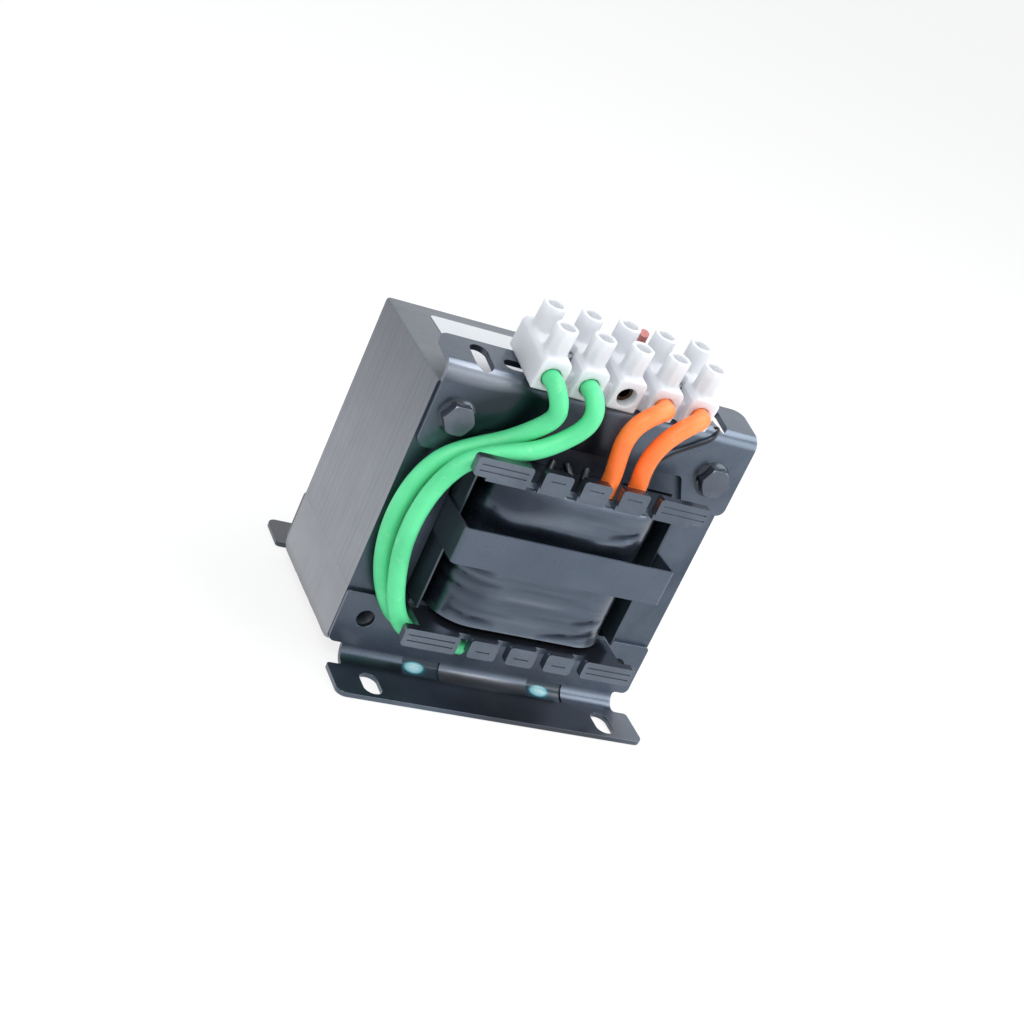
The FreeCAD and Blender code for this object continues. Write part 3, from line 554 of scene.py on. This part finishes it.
def ring_quads(low, high, count):
    """Faces between two closed rings of points that are numbered from low and from high."""
    return [(low + i, low + (i + 1) % count, high + (i + 1) % count, high + i) for i in range(count)]


def outward(corners):
    """Unit bisectors that point out of a counter-clockwise outline."""
    found = []
    for k, (a, b) in enumerate(corners):
        before = Vector((a - corners[k - 1][0], b - corners[k - 1][1])).normalized()
        following = corners[(k + 1) % len(corners)]
        after = Vector((following[0] - a, following[1] - b)).normalized()
        normal = Vector((before.y, -before.x)) + Vector((after.y, -after.x))
        found.append(normal / max(0.5, normal.length_squared / 2))
    return found


def bundle_borders():
    """Numbers of the sheets where one bundle of the stack ends."""
    borders = set()
    border = 0
    while border < SHEETS:
        border += random.randint(FEWEST_IN_BUNDLE, MOST_IN_BUNDLE)
        borders.add(border)
    return borders


def cut_corner_holes(mesh, end_loops, hole_height):
    """Close the stack's two ends, each with two blind holes."""
    b = bmesh.new()
    b.from_mesh(mesh)
    b.verts.ensure_lookup_table()
    loops = [[b.verts[i] for i in numbers] for numbers in end_loops]
    for loop, inward in zip(loops, (1, -1)):
        y = -inward * (CORE_HALF_DEPTH - SHEET_SECTION[0][0] * SHEET_PITCH)
        edges = [b.edges.get((loop[i], loop[(i + 1) % len(loop)])) for i in range(len(loop))]
        for x in (-HOLE_X, HOLE_X):
            ring = []
            for step in range(HOLE_STEPS):
                angle = 2 * math.pi * step / HOLE_STEPS
                place = (x + HOLE_RADIUS * math.cos(angle), y, hole_height + HOLE_RADIUS * math.sin(angle))
                ring.append(b.verts.new(Vector(place) * MM))
            depth = [b.verts.new(v.co + Vector((0, inward * HOLE_DEPTH * MM, 0))) for v in ring]
            for i in range(HOLE_STEPS):
                j = (i + 1) % HOLE_STEPS
                edges.append(b.edges.new((ring[i], ring[j])))
                b.faces.new((ring[i], ring[j], depth[j], depth[i]))
            b.faces.new(depth)
        bmesh.ops.triangle_fill(b, use_beauty=True, edges=edges)
    b.to_mesh(mesh)
    b.free()


def sheet_stack(name, corners, hole_height, unevenness, low_edge=None):
    """Sheets side by side as one mesh, each with its own small shift and tone."""
    easing = outward(corners)
    borders = bundle_borders()
    verts = []
    faces = []
    tones = []
    count = len(corners)
    for k in range(SHEETS):
        start = -CORE_HALF_DEPTH + k * SHEET_PITCH
        end_sheet = k in (0, SHEETS - 1)
        shift_x = 0 if end_sheet else random.uniform(-SHIFT_ACROSS, 0.0) * unevenness
        shift_z = 0 if end_sheet else random.uniform(-SHIFT_UP, 0.0) * unevenness
        tone = random.uniform(*(BORDER_TONES if k in borders else SHEET_TONES))
        tone = MIDDLE_TONE + (tone - MIDDLE_TONE) * unevenness
        first = len(verts)
        for share, inset in SHEET_SECTION:
            y = start + share * SHEET_PITCH
            inset = inset * unevenness - shift_x
            for (a, b), normal in zip(corners, easing):
                if low_edge and b < CORE_BOTTOM:
                    b += low_edge(y)
                verts.append((a - normal.x * inset, y, b - normal.y * inset + shift_z))
                tones.append(tone)
        for row in range(len(SHEET_SECTION) - 1):
            low = first + row * count
            faces += ring_quads(low, low + count, count)
        if k:
            faces += ring_quads(first - count, first, count)
    mesh = mesh_from(name, verts, faces)
    ends = (range(count), range(len(verts) - count, len(verts)))
    cut_corner_holes(mesh, ends, hole_height)
    fix_normals(mesh)
    obj = new_object(name, mesh)
    attribute = mesh.attributes.new("sheet_tone", "FLOAT", "POINT")
    attribute.data.foreach_set("value", tones + [HOLE_TONE] * (len(mesh.vertices) - len(tones)))
    return shade(obj, 30)


def rounded(corners, radii):
    """An outline with some corners, by number, rounded to a small radius with three points."""
    done = []
    for k, (a, b) in enumerate(corners):
        size = radii.get(k, 0)
        if not size:
            done.append((a, b))
            continue
        here = Vector((a, b))
        back = (Vector(corners[k - 1]) - here).normalized()
        ahead = (Vector(corners[(k + 1) % len(corners)]) - here).normalized()
        for share in (0.0, 0.5, 1.0):
            angle = share * math.pi / 2
            centre = here + (back + ahead) * size
            point = centre - back * size * math.sin(angle) - ahead * size * math.cos(angle)
            done.append((point.x, point.y))
    return done


E_OUTLINE = [
    (-CORE_HALF_WIDTH, WINDOW_BOTTOM), (-LIMB, WINDOW_BOTTOM), (-LIMB, WINDOW_TOP),
    (-TONGUE, WINDOW_TOP), (-TONGUE, WINDOW_BOTTOM), (TONGUE, WINDOW_BOTTOM),
    (TONGUE, WINDOW_TOP), (LIMB, WINDOW_TOP), (LIMB, WINDOW_BOTTOM),
    (CORE_HALF_WIDTH, WINDOW_BOTTOM), (CORE_HALF_WIDTH, CORE_TOP), (-CORE_HALF_WIDTH, CORE_TOP),
]
I_OUTLINE = [
    (-CORE_HALF_WIDTH, BEAD_BOTTOM), (CORE_HALF_WIDTH, BEAD_BOTTOM),
    (CORE_HALF_WIDTH, WINDOW_BOTTOM), (-CORE_HALF_WIDTH, WINDOW_BOTTOM),
]


BEAD_FRONT_RISE = 0.35
BEAD_FALL = 0.8
BEAD_END_LENGTH = 2.2
BEAD_END_RISE = 1.3
BEAD_RIPPLE = 0.06


def bead_edge(y):
    """Height of the varnish bead's underside against its mean: low at the back, ends turned up."""
    end = max(0.0, (abs(y) - CORE_HALF_DEPTH + BEAD_END_LENGTH) / BEAD_END_LENGTH)
    slope = BEAD_FRONT_RISE - BEAD_FALL * (y + CORE_HALF_DEPTH) / (2 * CORE_HALF_DEPTH)
    return slope + BEAD_END_RISE * end * end + BEAD_RIPPLE * wave(y * 0.7, 2)


core = sheet_stack("core_sheets_e", rounded(E_OUTLINE, {10: E_CORNER_RADIUS, 11: E_CORNER_RADIUS}),
                   UPPER_HOLE_HEIGHT, E_UNEVENNESS)
finish_piece(core, "lamination_steel", lamination, "e_core_stack")
yoke = sheet_stack("core_sheets_i", rounded(I_OUTLINE, {0: I_CORNER_RADIUS, 1: I_CORNER_RADIUS}),
                   LOWER_HOLE_HEIGHT, I_UNEVENNESS, bead_edge)
finish_piece(yoke, "lamination_steel", lamination, "i_core_stack")


# Sheet metal, bolts, bobbin and block

for node, name, slot, material, width in (
    ("terminal_bracket", "bracket_sheet", "varnished_sheet", slate, 0.28),
    ("front_foot", "foot_sheet_front", "varnished_sheet", foot_varnish, 0.24),
    ("rear_foot", "foot_sheet_rear", "varnished_sheet", rear_foot_shaded, 0.24),
    ("core_bolts", "bolts_m4", "varnished_bolts", bolt_varnish, 0.22),
    ("core_washers", "washers_m4", "varnished_bolts", bolt_varnish, 0.12),
    ("core_nuts", "nuts_m4", "varnished_bolts", bolt_varnish, 0.2),
    ("bobbin", "bobbin_moulding", "bobbin_plastic", moulding, 0.18),
    ("core_label", "label_bare", "label_paper", paper, 0.05),
):
    finish_piece(refined(node, name, width), slot, material, node)


BRACKET_FRONT = -23.25
RING_INNER = 3.2
RING_OUTER = 4.7
RING_UNEVENNESS = 0.35
RING_HEIGHT = 0.7
RING_STEPS = 48


def varnish_ring(x, seed):
    """Rows of a low uneven fillet of varnish round a bolt head."""
    rows = []
    for share in (0.0, 0.35, 0.7, 1.0):
        row = []
        for step in range(RING_STEPS):
            angle = 2 * math.pi * step / RING_STEPS
            uneven = RING_UNEVENNESS * wave(angle * 2 / math.pi, seed) * math.sin(angle / 2)
            radius = RING_INNER + (RING_OUTER + uneven - RING_INNER) * share
            rise = RING_HEIGHT * (1 - share) ** 2
            row.append((x + radius * math.cos(angle), BRACKET_FRONT - rise,
                        UPPER_HOLE_HEIGHT + radius * math.sin(angle)))
        rows.append(row)
    return rows


for number, x in enumerate((-HOLE_X, HOLE_X)):
    ring = grid("bolt_varnish_" + str(number + 1), varnish_ring(x, number + 2), closed_u=True)
    finish_piece(shade(ring, 60), "varnished_bolts", pool_varnish)

BLOCK_VOXEL = 0.3
BLOCK_SMOOTHINGS = 3
finish_piece(softened("terminal_housing", "block_housing", BLOCK_VOXEL, BLOCK_SMOOTHINGS),
             "block_plastic", nylon, "terminal_housing")

# CAD nodes that keep their own mesh and take only a material
for node, material in (
    [("terminal_sleeve_" + str(k + 1), brass) for k in range(5)]
    + [("terminal_screws", zinc), ("block_screws", zinc), ("block_nuts", zinc),
       ("primary_winding", copper), ("secondary_winding", copper), ("winding_barrier", tape),
       ("window_liner_left", board), ("window_liner_right", board), ("coil_strap", strip),
       ("varnish_film_left", film), ("varnish_film_right", film),
       ("red_sleeved_tail", red_brown), ("winding_splices", knot_skin)]
):
    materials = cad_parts[node].data.materials
    materials.clear()
    materials.append(material)


# Coil: a tape wrap with long shallow folds

COIL_HALF_X = 24.0
COIL_HALF_Y = 33.25
COIL_CORNER = 10.0
COIL_LOW = 21.1
COIL_HIGH = 59.3
WRAP_BUILD = 1.0
WRAP_COLUMNS = 380
WRAP_ROWS = 110
MEAN_INSET = 0.3
TOP_EASING, TOP_REACH = 0.6, 0.9
LIP_SIZE, LIP_REACH = 0.28, 0.8
WAIST_SIZE, WAIST_HEIGHT, WAIST_REACH = 0.22, 42.7, 7.0
FOLD_SHARE = 0.6
# Levels of the wrap's painted light and shade on plain tape and on its hidden inner faces
PLAIN_TONE = 0.5
HIDDEN_TONE = 0.3
RANDOM_FOLDS = 34
SHORTEST_FOLD = 9
# Where painted shade darkens the wrap as it turns round the front's corners
FRONT_CORNER_START, FRONT_CORNER_LENGTH, FRONT_CORNER_END = 19.0, 9.0, 40
# How far random folds keep from the front's middle, both ways along the wrap
FIRST_START, LAST_START, LAST_END = 24, 32, 26
# Folds on the front: place across at each end, height at each end, depth (a ridge where it is
# negative) and half width
FRONT_FOLDS = (
    (9.5, 18.5, 51.2, 53.3, 0.40, 0.8), (6.0, 18.0, 48.6, 51.1, -0.16, 0.9),
    (2.0, 24.0, 46.6, 47.8, 0.22, 1.1), (-30.0, -13.0, 36.4, 35.6, 0.40, 0.7),
    (-30.0, -12.0, 34.6, 34.4, -0.10, 0.7), (-30.0, -10.0, 33.2, 32.6, 0.42, 0.7),
    (-30.0, -15.0, 31.3, 31.2, -0.10, 0.7), (-31.0, -13.0, 29.7, 29.3, 0.40, 0.7),
    (-17.0, 8.0, 30.1, 30.5, -0.10, 0.6), (-15.0, 10.0, 28.7, 29.0, 0.03, 0.7),
    (-12.0, 14.0, 33.6, 33.0, 0.09, 0.6), (-8.0, 16.0, 26.4, 26.9, 0.08, 0.6),
    (-10.0, 6.0, 24.6, 24.2, -0.07, 0.7), (10.5, 20.5, 26.9, 28.7, 0.42, 0.7),
    (13.0, 22.0, 25.3, 27.1, -0.16, 0.7), (3.0, 20.0, 21.6, 24.4, 0.36, 0.7),
    (-22.0, -8.0, 23.4, 22.8, 0.34, 0.8), (-31.0, -14.0, 56.2, 55.0, 0.42, 2.2),
    (-27.0, 6.0, 53.4, 51.9, -0.10, 2.0), (-30.0, 6.0, 47.6, 47.8, 0.30, 1.5),
    (-24.0, -4.0, 26.0, 25.3, 0.12, 0.8), (-10.0, 12.0, 56.6, 55.2, 0.10, 1.2),
    (0.0, 20.0, 54.6, 55.6, -0.06, 1.0),
)


def ring_places(half_x, half_y, corner, count):
    """Points and normals round a rounded rectangle, with the distance from the front's middle."""
    flat_x = 2 * (half_x - corner)
    flat_y = 2 * (half_y - corner)
    arc = math.pi / 2 * corner
    # Length, corner number of an arc, then a flat's start, direction and normal
    runs = ((flat_x / 2, None, (0, -half_y), (1, 0), (0, -1)), (arc, 0, None, None, None),
            (flat_y, None, (half_x, -half_y + corner), (0, 1), (1, 0)), (arc, 1, None, None, None),
            (flat_x, None, (half_x - corner, half_y), (-1, 0), (0, 1)), (arc, 2, None, None, None),
            (flat_y, None, (-half_x, half_y - corner), (0, -1), (-1, 0)), (arc, 3, None, None, None),
            (flat_x / 2, None, (-half_x + corner, -half_y), (1, 0), (0, -1)))
    centres = ((1, -1), (1, 1), (-1, 1), (-1, -1))
    total = sum(run[0] for run in runs)
    places = []
    for step in range(count):
        along = total * step / count
        gone = along
        for length, turn, start, direction, normal in runs:
            if gone > length:
                gone -= length
                continue
            if turn is None:
                point = (start[0] + direction[0] * gone, start[1] + direction[1] * gone)
            else:
                angle = -math.pi / 2 + turn * math.pi / 2 + gone / corner
                normal = (math.cos(angle), math.sin(angle))
                sx, sy = centres[turn]
                point = (sx * (half_x - corner) + corner * normal[0],
                         sy * (half_y - corner) + corner * normal[1])
            break
        places.append((point, normal, along if along <= total / 2 else along - total))
    return places, total


def fold_depth(along, height, folds):
    """Depth of the folds at a place: grooves are positive, ridges negative."""
    depth = 0.0
    for start, end, low, high, size, width in folds:
        if not start < along < end:
            continue
        share = (along - start) / (end - start)
        off = (height - (low + (high - low) * share)) / width
        depth += size * math.sin(math.pi * share) ** 0.7 * math.exp(-off * off)
    return depth


def wrap_folds(total):
    """The chosen folds of the front, and random ones round the sides and the back."""
    folds = list(FRONT_FOLDS)
    for _ in range(RANDOM_FOLDS):
        start = random.uniform(FIRST_START, total - LAST_START)
        length = random.uniform(10, 34)
        low = random.uniform(COIL_LOW + 2, COIL_HIGH - 2)
        end = min(start + length, total - LAST_END)
        if start > total / 2:
            start, end = start - total, end - total
        elif end > total / 2:
            end = total / 2
        size = random.uniform(0.12, 0.4) * random.choice((1, 1, -0.7))
        fold = (start, end, low, low + random.uniform(-2, 2), size, random.uniform(0.7, 1.4))
        if end - start > SHORTEST_FOLD:
            folds.append(fold)
    return folds


def wrap_inset(along, height, fold):
    """How far the tape lies inside its box: eased at the top, with a lip at the bottom."""
    easing = TOP_EASING * math.exp(-(COIL_HIGH - height) / TOP_REACH)
    lip = LIP_SIZE * math.exp(-(height - COIL_LOW) / LIP_REACH)
    waist = WAIST_SIZE * math.exp(-((height - WAIST_HEIGHT) / WAIST_REACH) ** 2)
    ripple = 0.035 * wave(along * 0.23 + height * 0.35, 3) + 0.02 * wave(height * 1.3 + along * 0.05, 5)
    inset = MEAN_INSET + easing - lip + waist + fold * FOLD_SHARE + ripple
    return max(0.0, min(WRAP_BUILD - 0.05, inset))


def wrap_shading(along, height, fold):
    """Painted shade in a fold and round the front's corners, painted highlight on a ridge and at the
    bottom lip.
    """
    turned = 0.0
    if abs(along) < FRONT_CORNER_END:
        turned = max(0.0, min(1.0, (abs(along) - FRONT_CORNER_START) / FRONT_CORNER_LENGTH))
    lip = math.exp(-(height - COIL_LOW) / LIP_REACH)
    tone = PLAIN_TONE - fold * (1.15 if fold > 0 else 0.9) - 0.16 * turned + 0.1 * lip
    return max(0.0, min(1.0, tone))


def wrap_row(places, height, insets):
    """Points round the coil at one height, each moved in from the coil's box."""
    return [(p[0] - n[0] * inset, p[1] - n[1] * inset, height)
            for (p, n, _), inset in zip(places, insets)]


def make_coil_tape():
    """The coil's outer wrap as a closed tube, with the folds' painted light and shade as an attribute."""
    places, total = ring_places(COIL_HALF_X, COIL_HALF_Y, COIL_CORNER, WRAP_COLUMNS)
    folds = wrap_folds(total)
    inner = [WRAP_BUILD] * len(places)
    rows = [wrap_row(places, COIL_LOW, inner)]
    tones = [HIDDEN_TONE] * len(places)
    for level in range(WRAP_ROWS + 1):
        height = COIL_LOW + (COIL_HIGH - COIL_LOW) * level / WRAP_ROWS
        depths = [fold_depth(along, height, folds) for _, _, along in places]
        insets = [wrap_inset(along, height, fold) for (_, _, along), fold in zip(places, depths)]
        rows.append(wrap_row(places, height, insets))
        tones += [wrap_shading(along, height, fold) for (_, _, along), fold in zip(places, depths)]
    rows.append(wrap_row(places, COIL_HIGH, inner))
    tones += [HIDDEN_TONE] * len(places)
    obj = grid("coil_tape_folds", rows, closed_u=True, closed_v=True)
    attribute = obj.data.attributes.new("fold_shading", "FLOAT", "POINT")
    attribute.data.foreach_set("value", tones)
    return shade(obj, 60)


finish_piece(make_coil_tape(), "coil_tape", tape_material(), "coil_tape_wrap")


# Leads, wires and solder joints

BLOCK_TILT = math.radians(7.0)
BLOCK_MIDDLE = 1.8
BLOCK_OVERHANG = 4.0
FLANGE_RISE = 5.5
POLE_PITCH = 10.1
MIDDLE_POLE = 2
ENTRY_HEIGHT = 3.75
ENTRY_DEPTH = 2.7
LEAD_RADIUS = 2.2
LEAD_STRAIGHT = 0.6
LEAD_END_CLEARANCE = 0.1


def flange_point(x, depth, height):
    """A point of the terminal block's frame, in the part's frame."""
    base = CORE_TOP + FLANGE_RISE - BLOCK_OVERHANG * math.tan(BLOCK_TILT)
    front = -CORE_HALF_DEPTH - BLOCK_OVERHANG
    return (BLOCK_MIDDLE + x,
            front + depth * math.cos(BLOCK_TILT) - height * math.sin(BLOCK_TILT),
            base + depth * math.sin(BLOCK_TILT) + height * math.cos(BLOCK_TILT))


def pole_x(pole):
    return POLE_PITCH * (pole - MIDDLE_POLE)


# Pole, material and chosen route points of each lead
LEADS = {
    "green_lead_1": (0, green, [
        (-18.2, -29.6, 83.6), (-16.6, -31.6, 80.4), (-15.3, -30.4, 76.6), (-17.0, -28.0, 72.2),
        (-21.8, -25.7, 66.6), (-27.9, -25.6, 63.5), (-32.9, -25.7, 60.8), (-36.6, -25.6, 57.0),
        (-38.9, -25.1, 51.0), (-39.8, -24.6, 44.0), (-39.6, -24.5, 36.9), (-38.3, -24.6, 30.2),
        (-36.1, -25.2, 24.4), (-33.1, -25.6, 19.5), (-29.6, -25.7, 16.0), (-24.5, -25.8, 15.0),
        (-19.4, -25.8, 14.9)]),
    "green_lead_2": (1, green, [
        (-8.3, -29.8, 83.7), (-7.4, -32.0, 80.6), (-8.0, -31.9, 76.4), (-11.6, -31.2, 71.8),
        (-16.4, -30.7, 67.8), (-22.8, -30.4, 65.5), (-30.0, -30.4, 62.5), (-33.7, -30.4, 58.6),
        (-36.3, -30.2, 52.6), (-37.4, -29.9, 45.9), (-37.5, -29.7, 39.4), (-36.6, -29.6, 33.2),
        (-35.0, -29.8, 27.0), (-32.9, -30.1, 21.2), (-29.8, -30.4, 16.6), (-25.0, -30.5, 14.9),
        (-19.2, -30.5, 14.5), (-12.6, -30.5, 14.2)]),
    "orange_lead_1": (3, orange, [
        (10.6, -30.2, 84.9), (6.5, -31.9, 83.4), (3.6, -32.0, 80.0), (2.9, -31.5, 75.6),
        (3.8, -31.0, 70.6), (5.0, -30.4, 65.8), (5.0, -30.4, 61.0)]),
    "orange_lead_2": (4, orange, [
        (20.5, -30.2, 84.9), (16.5, -31.9, 83.0), (13.2, -32.0, 79.2), (11.4, -31.5, 74.4),
        (11.3, -31.0, 69.4), (12.4, -30.4, 65.2), (12.4, -30.4, 61.0)]),
}
for name, (pole, material, route) in LEADS.items():
    x = pole_x(pole)
    ends = [flange_point(x, ENTRY_DEPTH - LEAD_END_CLEARANCE, ENTRY_HEIGHT),
            flange_point(x, -LEAD_STRAIGHT, ENTRY_HEIGHT)]
    lead = cable(name + "_sleeving", ends + route, LEAD_RADIUS)
    finish_piece(lead, name.split("_")[0] + "_sleeving", material, name)

# The wire starts on the bobbin's upper flange and runs just in front of the bracket's leg
FLANGE_TOP = 61.0
WIRE_FRONT = -23.95
WIRE_RADIUS = 0.35
wire = cable("screen_wire_run", [
    (15.5, -29.55, FLANGE_TOP), (15.5, -29.55, FLANGE_TOP + 4.2),
    (16.4, WIRE_FRONT - 2.6, FLANGE_TOP + 8.4), (20.6, WIRE_FRONT - 0.4, FLANGE_TOP + 11.2),
    (26.0, WIRE_FRONT, FLANGE_TOP + 14.6), (29.6, WIRE_FRONT - 0.5, FLANGE_TOP + 17.4),
    (31.4, WIRE_FRONT + 1.6, FLANGE_TOP + 19.6), (31.9, WIRE_FRONT + 4.4, FLANGE_TOP + 19.2),
    (32.0, WIRE_FRONT + 6.0, FLANGE_TOP + 17.0),
], WIRE_RADIUS)
finish_piece(wire, "wire_dark", wire_skin, "screen_wire")


# Floor, light and camera; lengths here are in metres, apart from the camera's place

ROOM_LIGHT = (0.62, 0.64, 0.67, 1)
SEEN_WHITE = (1, 1, 1, 1)
FLOOR_REACH = 3
FLOOR_DROP = 0.0002
FLOOR_GREY = (0.9, 0.9, 0.9, 1)
FLOOR_ROUGHNESS = 0.9
FLOOR_WHITE_SHARE = 0.8


def seen_directly(tree):
    """One for camera, glossy and transmission rays, nought for the rest."""
    path = tree.nodes.new("ShaderNodeLightPath")
    total = path.outputs["Is Camera Ray"]
    for ray in ("Is Glossy Ray", "Is Transmission Ray"):
        larger = tree.nodes.new("ShaderNodeMath")
        larger.operation = "MAXIMUM"
        tree.links.new(total, larger.inputs[0])
        tree.links.new(path.outputs[ray], larger.inputs[1])
        total = larger.outputs[0]
    return total


world = bpy.data.worlds.new("studio")
scene.world = world
world.use_nodes = True
tree = world.node_tree
mix = tree.nodes.new("ShaderNodeMix")
mix.data_type = "RGBA"
tree.links.new(seen_directly(tree), mix.inputs[0])
mix.inputs[6].default_value = ROOM_LIGHT
mix.inputs[7].default_value = SEEN_WHITE
tree.links.new(mix.outputs[2], tree.nodes["Background"].inputs["Color"])

floor_mesh = bpy.data.meshes.new("floor")
floor_corners = [(x * FLOOR_REACH, y * FLOOR_REACH, 0) for x, y in ((-1, -1), (1, -1), (1, 1), (-1, 1))]
floor_mesh.from_pydata(floor_corners, [], [(0, 1, 2, 3)])
floor = new_object("floor", floor_mesh)
floor.location.z = -FLOOR_DROP
floor_material = bpy.data.materials.new("pale_floor")
floor_material.use_nodes = True
tree = floor_material.node_tree
surface = tree.nodes["Principled BSDF"]
surface.inputs["Base Color"].default_value = FLOOR_GREY
surface.inputs["Roughness"].default_value = FLOOR_ROUGHNESS
glow = tree.nodes.new("ShaderNodeEmission")
glow.inputs["Color"].default_value = SEEN_WHITE
share = tree.nodes.new("ShaderNodeMath")
share.operation = "MULTIPLY"
share.inputs[1].default_value = FLOOR_WHITE_SHARE
tree.links.new(seen_directly(tree), share.inputs[0])
blend = tree.nodes.new("ShaderNodeMixShader")
tree.links.new(share.outputs[0], blend.inputs[0])
tree.links.new(surface.outputs[0], blend.inputs[1])
tree.links.new(glow.outputs[0], blend.inputs[2])
tree.links.new(blend.outputs[0], tree.nodes["Material Output"].inputs["Surface"])
floor.data.materials.append(floor_material)

# Name, place, height that it looks at, size and power of each lamp
for name, place, target_height, size, power in (
    ("key", (-0.45, -0.55, 0.75), 0.04, 0.5, 4.5),
    ("fill", (0.7, -0.6, 0.35), 0.04, 0.6, 4.0),
    ("top", (0.41, -0.02, 0.86), 0.06, 0.7, 5.5),
):
    light = bpy.data.lights.new(name, "AREA")
    light.shape = "SQUARE"
    light.size = size
    light.energy = power
    lamp = bpy.data.objects.new(name, light)
    scene.collection.objects.link(lamp)
    lamp.location = place
    aim = Vector((0, 0, target_height)) - Vector(place)
    lamp.rotation_euler = aim.to_track_quat("-Z", "Y").to_euler()

# The camera as solved from the photograph: place, focal length in pixels of a picture 1024 wide,
# and degrees round the object, above it and of roll
CAMERA_PLACE = Vector((-223.13, -392.91, 223.73)) * MM
FOCAL_PIXELS = 1967.0
PICTURE_PIXELS = 1024
SENSOR_WIDTH = 36
AZIMUTH, ELEVATION, ROLL = (math.radians(v) for v in (29.81, 22.42, 25.0))
forward = Vector((math.sin(AZIMUTH) * math.cos(ELEVATION), math.cos(AZIMUTH) * math.cos(ELEVATION),
                  -math.sin(ELEVATION)))
right = forward.cross(Vector((0, 0, 1))).normalized()
up = right.cross(forward)
rolled_right = right * math.cos(ROLL) + up * math.sin(ROLL)
rolled_up = up * math.cos(ROLL) - right * math.sin(ROLL)
camera = bpy.data.objects.new("camera", bpy.data.cameras.new("camera"))
scene.collection.objects.link(camera)
camera.data.sensor_width = SENSOR_WIDTH
camera.data.lens = FOCAL_PIXELS / PICTURE_PIXELS * SENSOR_WIDTH
camera.data.clip_start = 0.01
turn = Matrix((rolled_right, rolled_up, -forward)).transposed()
camera.matrix_world = Matrix.Translation(CAMERA_PLACE) @ turn.to_4x4()
scene.camera = camera
scene.view_settings.view_transform = "Standard"
